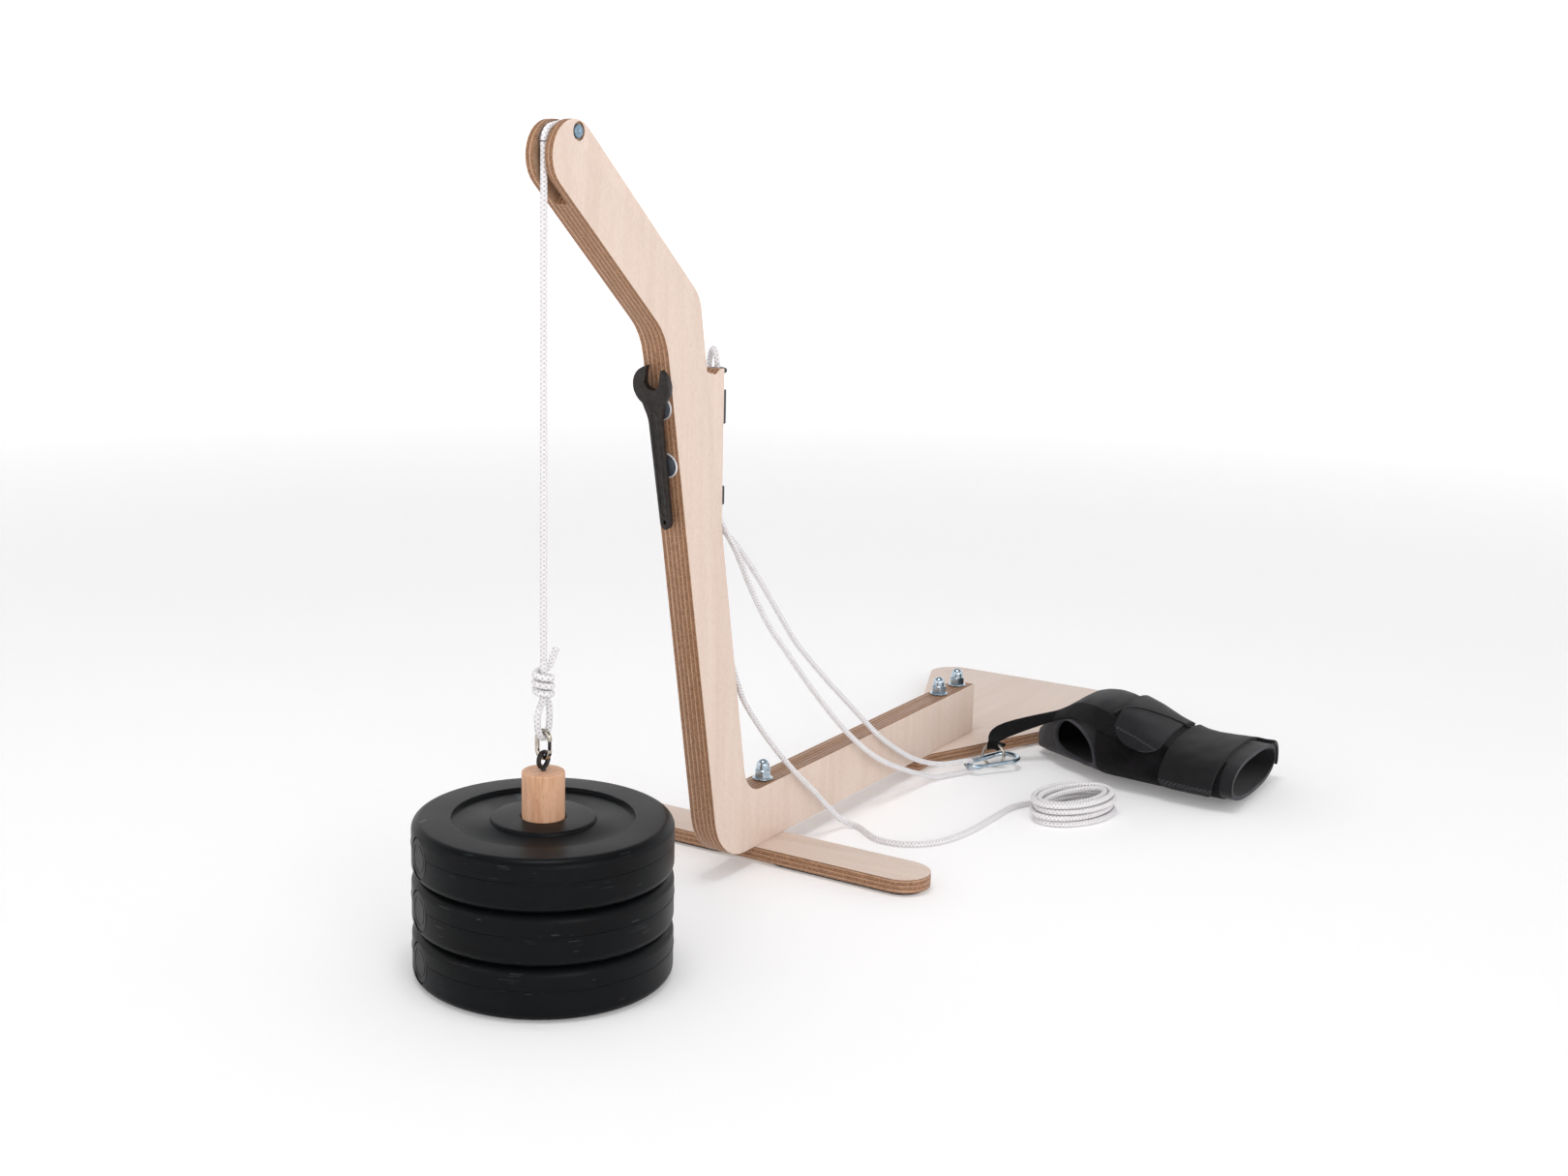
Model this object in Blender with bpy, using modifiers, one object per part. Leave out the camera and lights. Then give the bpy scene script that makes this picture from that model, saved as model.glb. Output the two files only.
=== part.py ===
"""Joint distraction trainer: a plywood gallows with a rope over a roller, a stack
of weight plates on one end and an ankle cuff on the other.

World frame: metres, +Z up, z = 0 on the floor. The origin is on the floor under
the middle of the front foot. +X runs along the beam to the rear plate, the
weights hang on the -X side. Sizes in this file are millimetres; every helper
turns them into metres when it makes a mesh.
"""
import math

import bpy
import bmesh
from mathutils import Matrix, Vector

MM = 0.001
COLLECTION = "joint_distraction_trainer"
CUTTERS = "cutters"

# Clearances
GAP = 0.3
ROUND_STEPS = 22
PLATE_STEPS = 30

# Plywood side panel
PANEL_T = 24.0
LIMB_W = 50.0
BEAM_REAR_X = 404.0
POST_FOOT_X = -60.0
POST_LEAN = math.radians(11.2)
ELBOW_Z = 473.0
ARM_RISE = math.radians(40.3)
ARM_LENGTH = 182.0
HEEL_R = 48.0
CROOK_R = 27.0
ELBOW_OUT_R = 30.0
ELBOW_IN_R = 50.0
LEDGE_Z = 428.0
LEDGE_DEPTH = 25.0
SCOOP_DEPTH = 4.0
EDGE_ROUND = 2.0

# Channel in the middle plies
SLOT_W = 10.0
SLOT_BACK = 22.3
CHANNEL_DEPTH = 9.0
CHANNEL_OVER = 2.0
MOUTH_LOW_Z = 336.0
MOUTH_HIGH_Z = 358.0

# Feet
PAD_T = 3.0
BOARD_T = 12.0
FOOT_HALF_X = 24.0
FOOT_HALF_Y = 163.0
FOOT_PAD_IN = 5.0
FOOT_PAD_GAP = 32.0
PLATE_NECK_X = 283.0
PLATE_FLARE_X = 305.0
PLATE_REAR_X = 634.0
PLATE_NECK_HALF = 13.0
PLATE_REAR_HALF = 146.0
PLATE_CORNER_R = 28.0
PLATE_PAD_IN = 7.0
PLATE_PAD_X = 430.0

# Frame bolts and cap nuts
BOLT_R = 4.0
BOLT_HEAD_R = 8.0
BOLT_HEAD_H = 4.0
BOLT_CLEAR = 0.5
FRONT_BOLT_X = 6.0
REAR_BOLT_XS = (346.0, 387.5)
NUT_FLANGE_R = 8.9
NUT_FLANGE_H = 1.6
NUT_AF = 13.0
NUT_HEX_TOP = 9.0
NUT_DOME_R = 5.6
NUT_H = 17.5
BOLT_IN_NUT = 12.0

# Head roller and cross bolt
CORD_R = 2.5
CORD_STEP = 18.0
BEND_STEP = math.radians(27.0)
KNOT_BEND_STEP = math.radians(36.0)
ROLLER_X = -293.0
ROLLER_Z = 600.0
ROLLER_ROOT_R = 8.2
ROLLER_FLANGE_R = 11.4
ROLLER_HALF_W = 4.2
AXLE_R = 2.5
AXLE_REACH = 4.0
CROSS_BEHIND = 13.4
CROSS_RISE = 7.3
CROSS_X = ROLLER_X + CROSS_BEHIND
CROSS_Z = ROLLER_Z + CROSS_RISE
CROSS_R = 3.0
CROSS_HEAD_R = 5.8
CROSS_HEAD_T = 2.0
CROSS_SINK = 2.2

# Spanner on its magnets
SPANNER_T = 5.0
SPANNER_LENGTH = 132.0
SPANNER_HEAD_R = 16.5
SPANNER_JAW = 13.0
SPANNER_JAW_DEEP = 19.0
SPANNER_TILT = math.radians(-15.0)
SPANNER_WIDE = 13.0
SPANNER_NARROW = 10.6
SPANNER_SHOULDER = 14.0
SPANNER_WAIST_R = 30.0
SPANNER_HOLE_R = 1.8
MAGNET_R = 9.0
MAGNET_H = 5.0
MAGNET_RIM_R = 10.2
MAGNET_RIM_H = 1.4
MAGNET_DROP = 70.0
MAGNET_PITCH = 45.5
MAGNET_ZS = (ELBOW_Z - MAGNET_DROP, ELBOW_Z - MAGNET_DROP - MAGNET_PITCH)
SPANNER_BELOW = 48.9
SPANNER_LOW_Z = MAGNET_ZS[1] - SPANNER_BELOW

# Cleat, its guide and the lower fairlead on the back of the post
CLEAT_HALF_W = 8.0
CLEAT_BASE_T = 2.0
CLEAT_LOW_Z = 366.0
CLEAT_HIGH_Z = 420.0
JAW_LOW_Z = 383.0
JAW_HIGH_Z = 410.0
JAW_PROUD = 10.5
JAW_MOUTH_HALF = 5.4
JAW_FLOOR_HALF = 3.4
JAW_TOOTH = 0.7
JAW_TOOTH_PITCH = 4.0
CLEAT_SCREW_R = 3.2
CLEAT_SCREW_H = 1.6
CLEAT_SHANK_R = 1.6
CLEAT_SHANK_L = 12.0
GUIDE_Z = 425.0
GUIDE_RING_R = 5.7
GUIDE_WIRE_R = 2.2
HOOP_LOW_Z = 318.0
HOOP_HIGH_Z = 333.0
HOOP_HALF_W = 9.5
HOOP_HOLE_HALF = 6.3
HOOP_HOLE_DEEP = 6.8
HOOP_WALL = 3.0

# Weight stack
PLATE_R = 96.0
PLATE_T = 39.0
PLATE_COUNT = 3
PLATE_BORE_R = 16.6
PLATE_HUB_R = 39.0
PLATE_DISH_R = 68.0
PLATE_DISH_DEEP = 3.5
PLATE_FOOT_DEEP = 6.0
PLATE_RIM_ROUND = 9.0
PLUG_R = 15.0
PLUG_T = 6.0
PLUG_STEPS = 20
PLUG_FACE_R = 95.0
PLUG_AZIMUTH = math.radians(149.0)
CORE_R = 15.8
CORE_PROUD = 34.0
WASHER_R = 32.0
WASHER_T = 4.5
WASHER_SCREW_R = 5.0
EYE_RING_R = 5.5
EYE_WIRE_R = 1.8
EYE_DEEP = 16.0
SNAP_WIRE_R = 1.8
SNAP_HALF_W = 5.6
SNAP_HALF_H = 10.0
SNAP_GATE_R = 1.3
SNAP_STUB = 1.0

# Knot above the snap ring
KNOT_RISE = 24.0
KNOT_TURNS = 3
KNOT_PITCH = 5.9
KNOT_COIL_R = 6.0
LOOP_HALF_W = 6.5
TAIL_REACH = 18.0

# Carabiner and ring at the cuff
CARABINER_AT = (337.0, -64.5, 9.6)
CARABINER_TURN = math.radians(-27.3)
CARABINER_TILT = math.radians(-2.6)
CARABINER_LENGTH = 63.0
CARABINER_SMALL_R = 8.5
CARABINER_BIG_R = 13.5
CARABINER_WIRE_R = 2.5
CARABINER_GATE_R = 2.0
CARABINER_HINGE_CLEAR = 1.8
CARABINER_NOSE_CLEAR = 1.2
RING_AT = (346.9, -61.4, 12.7)
RING_R = 10.9
RING_WIRE_R = 1.5
RING_TURN = math.radians(10.0)

# Hank of spare cord on the floor
HANK_AT = (255.0, -184.0)
HANK_TURN = math.radians(-20.0)
HANK_HALF_L = 47.0
HANK_HALF_W = 29.0
HANK_STEP = 6.1
HANK_RISE = 5.7
HANK_RINGS = 2
HANK_LAYERS = 4
HANK_START = math.radians(63.0)

# Ankle cuff on the floor: stations along the leg, then shell and straps
CUFF_WALL = 4.0
CUFF_LIFT = 4.5
CUFF_SIDES = 20
CUFF_ROWS = 13
CUFF_STATIONS = (
    # y, centre x, half width, height of the top
    (-78.0, 429.0, 10.0, 27.0),
    (-92.0, 426.0, 24.0, 39.0),
    (-113.0, 420.0, 36.0, 53.0),
    (-140.0, 411.0, 47.0, 70.0),
    (-165.0, 402.5, 55.5, 77.0),
    (-197.0, 399.5, 55.5, 70.0),
    (-235.0, 402.0, 58.0, 51.0),
    (-262.0, 404.5, 61.5, 47.0),
    (-302.0, 407.0, 66.0, 46.0),
)
FOOT_HOLE_AT = (388.0, -116.0)
FOOT_HOLE_TURN = math.radians(51.5)
FOOT_HOLE_HALF = 33.0
FOOT_HOLE_TOP = 31.0
STRAP_T = 3.0
STRAP_LIFT = 1.2
CALF_STRAP_Y = (-232.0, -284.0)
CALF_STRAP_SLANT = 8.0
INSTEP_Y = (-181.0, -226.0)
INSTEP_AROUND = (math.radians(35.0), math.radians(165.0))
RING_STRAP_W = 24.0
RING_STRAP_T = 2.6
RING_STRAP_FOLD_W = 11.0
RING_STRAP_GIRTH = 45.0
FOLD_SLACK = 1.1
FOLD_END_REACH = 17.0
FOLD_UNDER_REACH = 7.0
FOLD_OVER_REACH = 9.0
FOLD_EXIT_REACH = 20.0
FOLD_EXIT_SHIFT = (2.0, -6.0)
FOLD_EXIT_RISE = 7.0
RING_STRAP_STEP = 11.0
RING_STRAP_ROUTE = (
    # y, degrees round the cuff
    (-101.0, 130.0), (-114.0, 134.0), (-130.0, 138.0),
    (-148.0, 143.0), (-168.0, 146.0), (-190.0, 148.0),
)

# Routes of the cord, chosen by hand; y runs across the panel
STRAND_OUT = (
    (-83.0, -3.1, 328.0), (-82.9, -3.1, 320.0), (-80.8, -3.2, 312.0), (-75.0, -3.3, 303.5),
    (-50.0, -3.9, 273.5), (-27.2, -4.5, 239.3), (-3.4, -6.0, 207.0), (31.8, -8.0, 170.6),
    (81.3, -12.5, 120.5), (128.0, -19.0, 77.0), (172.9, -24.0, 45.8), (213.0, -28.0, 26.5),
    (250.0, -31.0, 11.5), (275.0, -35.0, 3.6), (289.0, -41.0, 2.9),
)
STRAND_BACK = (
    (296.0, -43.3, 14.0), (283.0, -36.5, 14.6), (266.0, -29.0, 19.0), (245.0, -24.0, 27.6),
    (215.0, -21.0, 44.0), (183.0, -18.5, 64.5), (152.8, -12.0, 91.6), (94.3, -5.0, 141.2),
    (55.1, -1.0, 176.9), (34.1, 1.0, 201.0), (-8.7, 2.2, 247.5), (-44.0, 3.0, 281.0),
    (-75.0, 3.1, 303.5), (-80.8, 3.1, 312.0), (-82.9, 3.1, 320.0), (-83.0, 3.1, 329.0),
    (-82.0, 2.6, 343.0), (-79.6, 1.2, 360.0), (-78.5, 0.3, 374.0), (-78.5, 0.0, 384.0),
    (-78.5, 0.0, 410.0), (-78.3, 0.0, 418.0),
)
TAIL_FROM_CLEAT = (
    (-78.3, 0.0, 418.5), (-78.3, 0.0, 431.0), (-76.4, 2.6, 438.5), (-72.6, 7.5, 441.5),
    (-69.6, 12.0, 437.0), (-69.5, 13.5, 425.0), (-71.0, 13.5, 400.0), (-72.5, 13.5, 350.0),
    (-71.0, 13.0, 300.0), (-65.0, 10.5, 250.0), (-57.0, 4.5, 205.0), (-46.5, -2.5, 169.3),
    (-36.8, -4.0, 148.0), (-19.0, -6.0, 124.7), (4.1, -11.0, 96.8), (31.3, -18.0, 67.1),
    (60.0, -22.0, 42.0), (84.0, -25.5, 20.0), (100.0, -30.0, 6.0), (104.0, -42.0, 2.8),
    (94.0, -56.0, 2.8), (85.0, -70.0, 2.8), (84.0, -88.0, 2.8), (94.0, -107.0, 2.8),
    (115.0, -121.0, 2.8), (146.0, -128.0, 2.8), (198.0, -130.5, 2.8), (232.0, -131.5, 2.8),
    (252.0, -138.0, 2.8),
)


def unit(x, z):
    """Unit vector of a direction in the panel's plane."""
    size = math.hypot(x, z)
    return (x / size, z / size)


def shift(point, direction, amount):
    """Point moved along a direction."""
    return tuple(p + d * amount for p, d in zip(point, direction))


def crossing(p, d, q, e):
    """Crossing of the line through p along d with the line through q along e."""
    spin = d[0] * e[1] - d[1] * e[0]
    t = ((q[0] - p[0]) * e[1] - (q[1] - p[1]) * e[0]) / spin
    return (p[0] + d[0] * t, p[1] + d[1] * t)


# Directions in the panel's plane (x, z), and the lines of its outline
POST_UP = (-math.sin(POST_LEAN), math.cos(POST_LEAN))
POST_FRONT = (-math.cos(POST_LEAN), -math.sin(POST_LEAN))
POST_BACK = (math.cos(POST_LEAN), math.sin(POST_LEAN))
ARM_OUT = (-math.cos(ARM_RISE), math.sin(ARM_RISE))
ARM_UPPER = (math.sin(ARM_RISE), math.cos(ARM_RISE))
ARM_LOWER = (-math.sin(ARM_RISE), -math.cos(ARM_RISE))
BEAM_Z0 = PAD_T + BOARD_T
BEAM_Z1 = BEAM_Z0 + LIMB_W
POST_BASE = (POST_FOOT_X, (BEAM_Z0 + BEAM_Z1) / 2)
ELBOW = shift(POST_BASE, POST_UP, (ELBOW_Z - POST_BASE[1]) / POST_UP[1])
TIP = shift(ELBOW, ARM_OUT, ARM_LENGTH)


def post_line(side, offset=0.0):
    """A point on the post's front or back edge, moved out by an offset."""
    return shift(POST_BASE, side, LIMB_W / 2 + offset)


def arm_line(side, offset=0.0):
    """A point on the arm's upper or lower edge, moved out by an offset."""
    return shift(ELBOW, side, LIMB_W / 2 + offset)


def back_x(z, offset=0.0):
    """The x of the post's back edge at a height."""
    return crossing(post_line(POST_BACK, offset), POST_UP, (0.0, z), (1.0, 0.0))[0]


def front_at(z):
    """The point of the post's front edge at a height."""
    return (crossing(post_line(POST_FRONT), POST_UP, (0.0, z), (1.0, 0.0))[0], z)


INNER_X = back_x(LEDGE_Z) + LEDGE_DEPTH
FACE_X = INNER_X + GAP


def fillet(corners, step=math.radians(12.0)):
    """Outline with each corner (a, b, radius) rounded by an arc."""
    points = []
    count = len(corners)
    for i, (a, b, radius) in enumerate(corners):
        before = corners[i - 1]
        after = corners[(i + 1) % count]
        if radius <= 0:
            points.append((a, b))
            continue
        u = unit(before[0] - a, before[1] - b)
        v = unit(after[0] - a, after[1] - b)
        half = math.acos(max(-1.0, min(1.0, u[0] * v[0] + u[1] * v[1]))) / 2
        run = radius / math.tan(half)
        middle = unit(u[0] + v[0], u[1] + v[1])
        centre = shift((a, b), middle, radius / math.sin(half))
        start = shift((a, b), u, run)
        end = shift((a, b), v, run)
        first = math.atan2(start[1] - centre[1], start[0] - centre[0])
        last = math.atan2(end[1] - centre[1], end[0] - centre[0])
        sweep = (last - first + math.pi) % (2 * math.pi) - math.pi
        steps = max(2, math.ceil(abs(sweep) / step))
        for k in range(steps + 1):
            angle = first + sweep * k / steps
            points.append((centre[0] + radius * math.cos(angle), centre[1] + radius * math.sin(angle)))
    kept = [p for i, p in enumerate(points) if math.dist(p, points[i - 1]) > 0.02]
    return kept


def circle(cx, cy, radius, steps):
    """Outline of a circle."""
    turn = 2 * math.pi / steps
    return [(cx + radius * math.cos(k * turn), cy + radius * math.sin(k * turn)) for k in range(steps)]


def smooth(points, spacing, bend_step=BEND_STEP):
    """Points on a smooth curve through the given ones, closer together in its bends."""
    pts = [Vector(p) for p in points]
    ends = [pts[0] * 2 - pts[1]] + pts + [pts[-1] * 2 - pts[-2]]
    dense = []
    for i in range(1, len(ends) - 2):
        p0, p1, p2, p3 = ends[i - 1:i + 3]
        t1 = (p1 - p0).length ** 0.5
        t2 = (p2 - p1).length ** 0.5
        t3 = (p3 - p2).length ** 0.5
        m1 = ((p1 - p0) / t1 - (p2 - p0) / (t1 + t2) + (p2 - p1) / t2) * t2
        m2 = ((p2 - p1) / t2 - (p3 - p1) / (t2 + t3) + (p3 - p2) / t3) * t2
        for k in range(16):
            s = k / 16
            a = 2 * s ** 3 - 3 * s ** 2 + 1
            b = s ** 3 - 2 * s ** 2 + s
            c = -2 * s ** 3 + 3 * s ** 2
            d = s ** 3 - s ** 2
            dense.append(p1 * a + m1 * b + p2 * c + m2 * d)
    dense.append(pts[-1])
    marks = [0.0]
    for i in range(1, len(dense)):
        step = dense[i] - dense[i - 1]
        bend = step.angle(dense[i + 1] - dense[i], 0.0) if i + 1 < len(dense) else 0.0
        marks.append(marks[-1] + step.length / spacing + bend / bend_step)
    count = max(2, round(marks[-1]))
    result = []
    j = 0
    for k in range(count + 1):
        want = marks[-1] * k / count
        while j < len(dense) - 2 and marks[j + 1] < want:
            j += 1
        span = marks[j + 1] - marks[j]
        result.append(dense[j].lerp(dense[j + 1], (want - marks[j]) / span if span else 0.0))
    return [tuple(p) for p in result]


def length_of(points):
    """Length of a run of points."""
    return sum(math.dist(a, b) for a, b in zip(points, points[1:]))


def material(name, rgb, roughness, metallic=0.0):
    """A Principled material."""
    made = bpy.data.materials.get(name)
    if made is None:
        made = bpy.data.materials.new(name)
        made.use_nodes = True
        shader = made.node_tree.nodes["Principled BSDF"]
        shader.inputs["Base Color"].default_value = (*rgb, 1.0)
        shader.inputs["Roughness"].default_value = roughness
        shader.inputs["Metallic"].default_value = metallic
        made.diffuse_color = (*rgb, 1.0)
    return made


def birch():
    return material("birch_plywood", (0.74, 0.60, 0.46), 0.55)


def beech():
    return material("beech", (0.62, 0.36, 0.22), 0.5)


def zinc():
    return material("zinc_plate", (0.62, 0.68, 0.72), 0.28, 1.0)


def nickel():
    return material("nickel", (0.66, 0.62, 0.56), 0.22, 1.0)


def rubber():
    return material("rubber", (0.02, 0.02, 0.022), 0.8)


def black_plastic():
    return material("black_plastic", (0.02, 0.022, 0.024), 0.42)


def black_metal():
    return material("black_metal", (0.025, 0.025, 0.028), 0.4, 0.6)


def white_plastic():
    return material("white_plastic", (0.75, 0.76, 0.78), 0.4)


def plate_vinyl():
    return material("plate_vinyl", (0.012, 0.016, 0.018), 0.38)


def white_cord():
    return material("white_cord", (0.86, 0.85, 0.84), 0.85)


def neoprene():
    return material("neoprene", (0.02, 0.02, 0.025), 0.9)


def webbing():
    return material("webbing", (0.014, 0.014, 0.016), 0.92)


def collection(name):
    """The collection of a name, made once."""
    made = bpy.data.collections.get(name)
    if made is None:
        made = bpy.data.collections.new(name)
        bpy.context.scene.collection.children.link(made)
    return made


def add(name, data, skin=None):
    """Object in the parts' collection, or a cutter where it has no material."""
    obj = bpy.data.objects.new(name, data)
    collection(COLLECTION if skin else CUTTERS).objects.link(obj)
    if skin:
        data.materials.append(skin)
    else:
        obj.hide_render = True
        obj.display_type = "WIRE"
    return obj


def place(obj, at=(0.0, 0.0, 0.0), turn=(0.0, 0.0, 0.0)):
    """Location in millimetres and rotation in radians."""
    obj.location = Vector(at) * MM
    obj.rotation_euler = turn
    return obj


def solid(curve_obj):
    """Mesh object made from a curve object, with its caps welded."""
    bpy.context.view_layer.update()
    graph = bpy.context.evaluated_depsgraph_get()
    mesh = bpy.data.meshes.new_from_object(curve_obj.evaluated_get(graph))
    work = bmesh.new()
    work.from_mesh(mesh)
    bmesh.ops.remove_doubles(work, verts=work.verts, dist=0.000002)
    bmesh.ops.recalc_face_normals(work, faces=work.faces)
    work.to_mesh(mesh)
    work.free()
    name = curve_obj.name
    world = curve_obj.matrix_world.copy()
    home = curve_obj.users_collection[0]
    hidden = curve_obj.hide_render
    bpy.data.objects.remove(curve_obj)
    obj = bpy.data.objects.new(name, mesh)
    home.objects.link(obj)
    obj.matrix_world = world
    obj.hide_render = hidden
    if hidden:
        obj.display_type = "WIRE"
    return obj


def flat(name, outlines, thickness, skin=None, at=(0.0, 0.0, 0.0), turn=(0.0, 0.0, 0.0)):
    """Plate from flat outlines, centred on its plane, with any inner outlines as holes."""
    data = bpy.data.curves.new(name, "CURVE")
    data.dimensions = "2D"
    data.fill_mode = "BOTH"
    data.extrude = thickness / 2 * MM
    for outline in outlines:
        spline = data.splines.new("POLY")
        spline.points.add(len(outline) - 1)
        for point, (a, b) in zip(spline.points, outline):
            point.co = (a * MM, b * MM, 0.0, 1.0)
        spline.use_cyclic_u = True
    return solid(place(add(name, data, skin), at, turn))


UPRIGHT = (math.pi / 2, 0.0, 0.0)


def tube(name, points, radius, skin, resolution=2, closed=False):
    """Round wire or cord through the points."""
    data = bpy.data.curves.new(name, "CURVE")
    data.dimensions = "3D"
    data.bevel_depth = radius * MM
    data.bevel_resolution = resolution
    data.use_fill_caps = not closed
    data.twist_mode = "MINIMUM"
    spline = data.splines.new("POLY")
    spline.points.add(len(points) - 1)
    for point, co in zip(spline.points, points):
        point.co = (co[0] * MM, co[1] * MM, co[2] * MM, 1.0)
    spline.use_cyclic_u = closed
    return add(name, data, skin)


def turned(name, profile, skin=None, at=(0.0, 0.0, 0.0), turn=(0.0, 0.0, 0.0), steps=ROUND_STEPS,
           ring=False):
    """Turned solid about Z from a profile (radius, height) that runs top to bottom."""
    mesh = bpy.data.meshes.new(name)
    edges = [(i, i + 1) for i in range(len(profile) - 1)]
    if ring:
        edges.append((len(profile) - 1, 0))
    mesh.from_pydata([(r * MM, 0.0, z * MM) for r, z in profile], edges, [])
    obj = place(add(name, mesh, skin), at, turn)
    screw = obj.modifiers.new("turn", "SCREW")
    screw.axis = "Z"
    screw.steps = steps
    screw.render_steps = steps
    screw.use_merge_vertices = True
    screw.merge_threshold = 0.00001
    screw.use_smooth_shade = False
    return obj


def cut(obj, cutter, operation="DIFFERENCE"):
    """Boolean with the exact solver."""
    step = obj.modifiers.new(operation.lower(), "BOOLEAN")
    step.operation = operation
    step.solver = "EXACT"
    step.object = cutter
    return obj


def drill(obj, radius, start, end, name, steps=14):
    """Round hole between two points."""
    run = Vector(end) - Vector(start)
    middle = (Vector(end) + Vector(start)) / 2
    half = run.length / 2
    profile = [(0.0, half), (radius, half), (radius, -half), (0.0, -half)]
    cutter = turned(name, profile, steps=steps)
    cutter.location = middle * MM
    cutter.rotation_mode = "QUATERNION"
    cutter.rotation_quaternion = run.to_track_quat("Z", "Y")
    return cut(obj, cutter)


def panel_outline():
    """Outline (x, z) of the plywood panel: beam, post, ledge block and arm."""
    upper_elbow = crossing(post_line(POST_BACK), POST_UP, arm_line(ARM_UPPER), ARM_OUT)
    lower_elbow = crossing(post_line(POST_FRONT), POST_UP, arm_line(ARM_LOWER), ARM_OUT)
    end = shift(TIP, ARM_OUT, LIMB_W / 2)
    heel = crossing(post_line(POST_FRONT), POST_UP, (0.0, BEAM_Z0), (1.0, 0.0))
    crook = crossing(post_line(POST_BACK), POST_UP, (0.0, BEAM_Z1), (1.0, 0.0))
    block_foot = crossing(post_line(POST_BACK), POST_UP, (INNER_X, 0.0), (0.0, 1.0))
    ledge = back_x(LEDGE_Z)
    scoop = (ledge + INNER_X) / 2
    corners = [
        (BEAM_REAR_X, BEAM_Z0, EDGE_ROUND),
        (BEAM_REAR_X, BEAM_Z1, EDGE_ROUND),
        (*crook, CROOK_R),
        (*block_foot, 0.0),
        (INNER_X, LEDGE_Z, 1.0),
        (scoop + LEDGE_DEPTH / 4, LEDGE_Z, 2.0),
        (scoop, LEDGE_Z - SCOOP_DEPTH, 4.0),
        (ledge, LEDGE_Z - SCOOP_DEPTH / 4, 2.0),
        (*upper_elbow, ELBOW_OUT_R),
        (*shift(end, ARM_UPPER, LIMB_W / 2), LIMB_W / 2 - 0.02),
        (*shift(end, ARM_LOWER, LIMB_W / 2), LIMB_W / 2 - 0.02),
        (*lower_elbow, ELBOW_IN_R),
        (*heel, HEEL_R),
    ]
    return fillet(corners)


def channel_outline():
    """Outline (x, z) of the channel that takes the cord from the head to the mouth."""
    depth = -CHANNEL_DEPTH
    floor_elbow = crossing(post_line(POST_BACK, depth), POST_UP, arm_line(ARM_UPPER, depth), ARM_OUT)
    above = arm_line(ARM_UPPER, CHANNEL_OVER)
    open_elbow = crossing(post_line(POST_BACK, CHANNEL_OVER), POST_UP, above, ARM_OUT)
    start = ARM_LENGTH - SLOT_BACK + 2.0
    out_x = INNER_X + 5.0
    corners = [
        (*shift(arm_line(ARM_UPPER, depth), ARM_OUT, start), 0.0),
        (*floor_elbow, ELBOW_OUT_R - CHANNEL_DEPTH),
        (back_x(MOUTH_LOW_Z, depth), MOUTH_LOW_Z, 6.0),
        (out_x, MOUTH_LOW_Z, 0.0),
        (out_x, MOUTH_HIGH_Z, 0.0),
        (back_x(MOUTH_HIGH_Z, CHANNEL_OVER), MOUTH_HIGH_Z, 0.0),
        (*open_elbow, 0.0),
        (*shift(above, ARM_OUT, start), 0.0),
    ]
    return fillet(corners)


def slot_outline():
    """Outline (x, z) of the slot round the tip of the arm."""
    far = LIMB_W
    root = shift(TIP, ARM_OUT, -SLOT_BACK)
    end = shift(TIP, ARM_OUT, far)
    return [shift(root, ARM_LOWER, far), shift(end, ARM_LOWER, far),
            shift(end, ARM_UPPER, far), shift(root, ARM_UPPER, far)]


def side_panel():
    """The plywood gallows with its slot, channel and holes."""
    panel = flat("side_panel", [panel_outline()], PANEL_T, birch(), turn=UPRIGHT)
    cut(panel, flat("slot_cut", [slot_outline()], SLOT_W, turn=UPRIGHT))
    cut(panel, flat("channel_cut", [channel_outline()], SLOT_W, turn=UPRIGHT))
    for index, x in enumerate((FRONT_BOLT_X, *REAR_BOLT_XS)):
        drill(panel, BOLT_R + BOLT_CLEAR, (x, 0, BEAM_Z0 - 1), (x, 0, BEAM_Z1 + 1), f"beam_hole_cut_{index}")
    half = PANEL_T / 2
    drill(panel, CROSS_R + GAP, (CROSS_X, -half - 1, CROSS_Z), (CROSS_X, half + 1, CROSS_Z), "cross_cut")
    for side in (-1, 1):
        mouth = (CROSS_X, side * (half + 1), CROSS_Z)
        seat = (CROSS_X, side * (half - CROSS_SINK), CROSS_Z)
        drill(panel, CROSS_HEAD_R + 0.9, mouth, seat, f"cross_seat_cut_{side + 1}")
        blind = (ROLLER_X, side * (SLOT_W / 2 + AXLE_REACH), ROLLER_Z)
        drill(panel, AXLE_R + GAP, (ROLLER_X, 0, ROLLER_Z), blind, f"axle_cut_{side + 1}")
    return panel


def capsule(half_a, half_b, cx=0.0, cy=0.0):
    """Outline with round ends, longer along the second axis."""
    return fillet([(cx + half_a, cy - half_b, half_a - 0.02), (cx + half_a, cy + half_b, half_a - 0.02),
                   (cx - half_a, cy + half_b, half_a - 0.02), (cx - half_a, cy - half_b, half_a - 0.02)])


def board_bolt_seat(board, x, name):
    """Countersunk hole for a frame bolt in a board."""
    low = PAD_T - 1.0
    high = PAD_T + BOARD_T + 1.0
    profile = [(0.0, high), (BOLT_R + BOLT_CLEAR, high), (BOLT_R + BOLT_CLEAR, PAD_T + BOLT_HEAD_H + GAP),
               (BOLT_HEAD_R + BOLT_CLEAR, PAD_T), (BOLT_HEAD_R + BOLT_CLEAR, low), (0.0, low)]
    cut(board, turned(name, profile, at=(x, 0, 0), steps=16))


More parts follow.
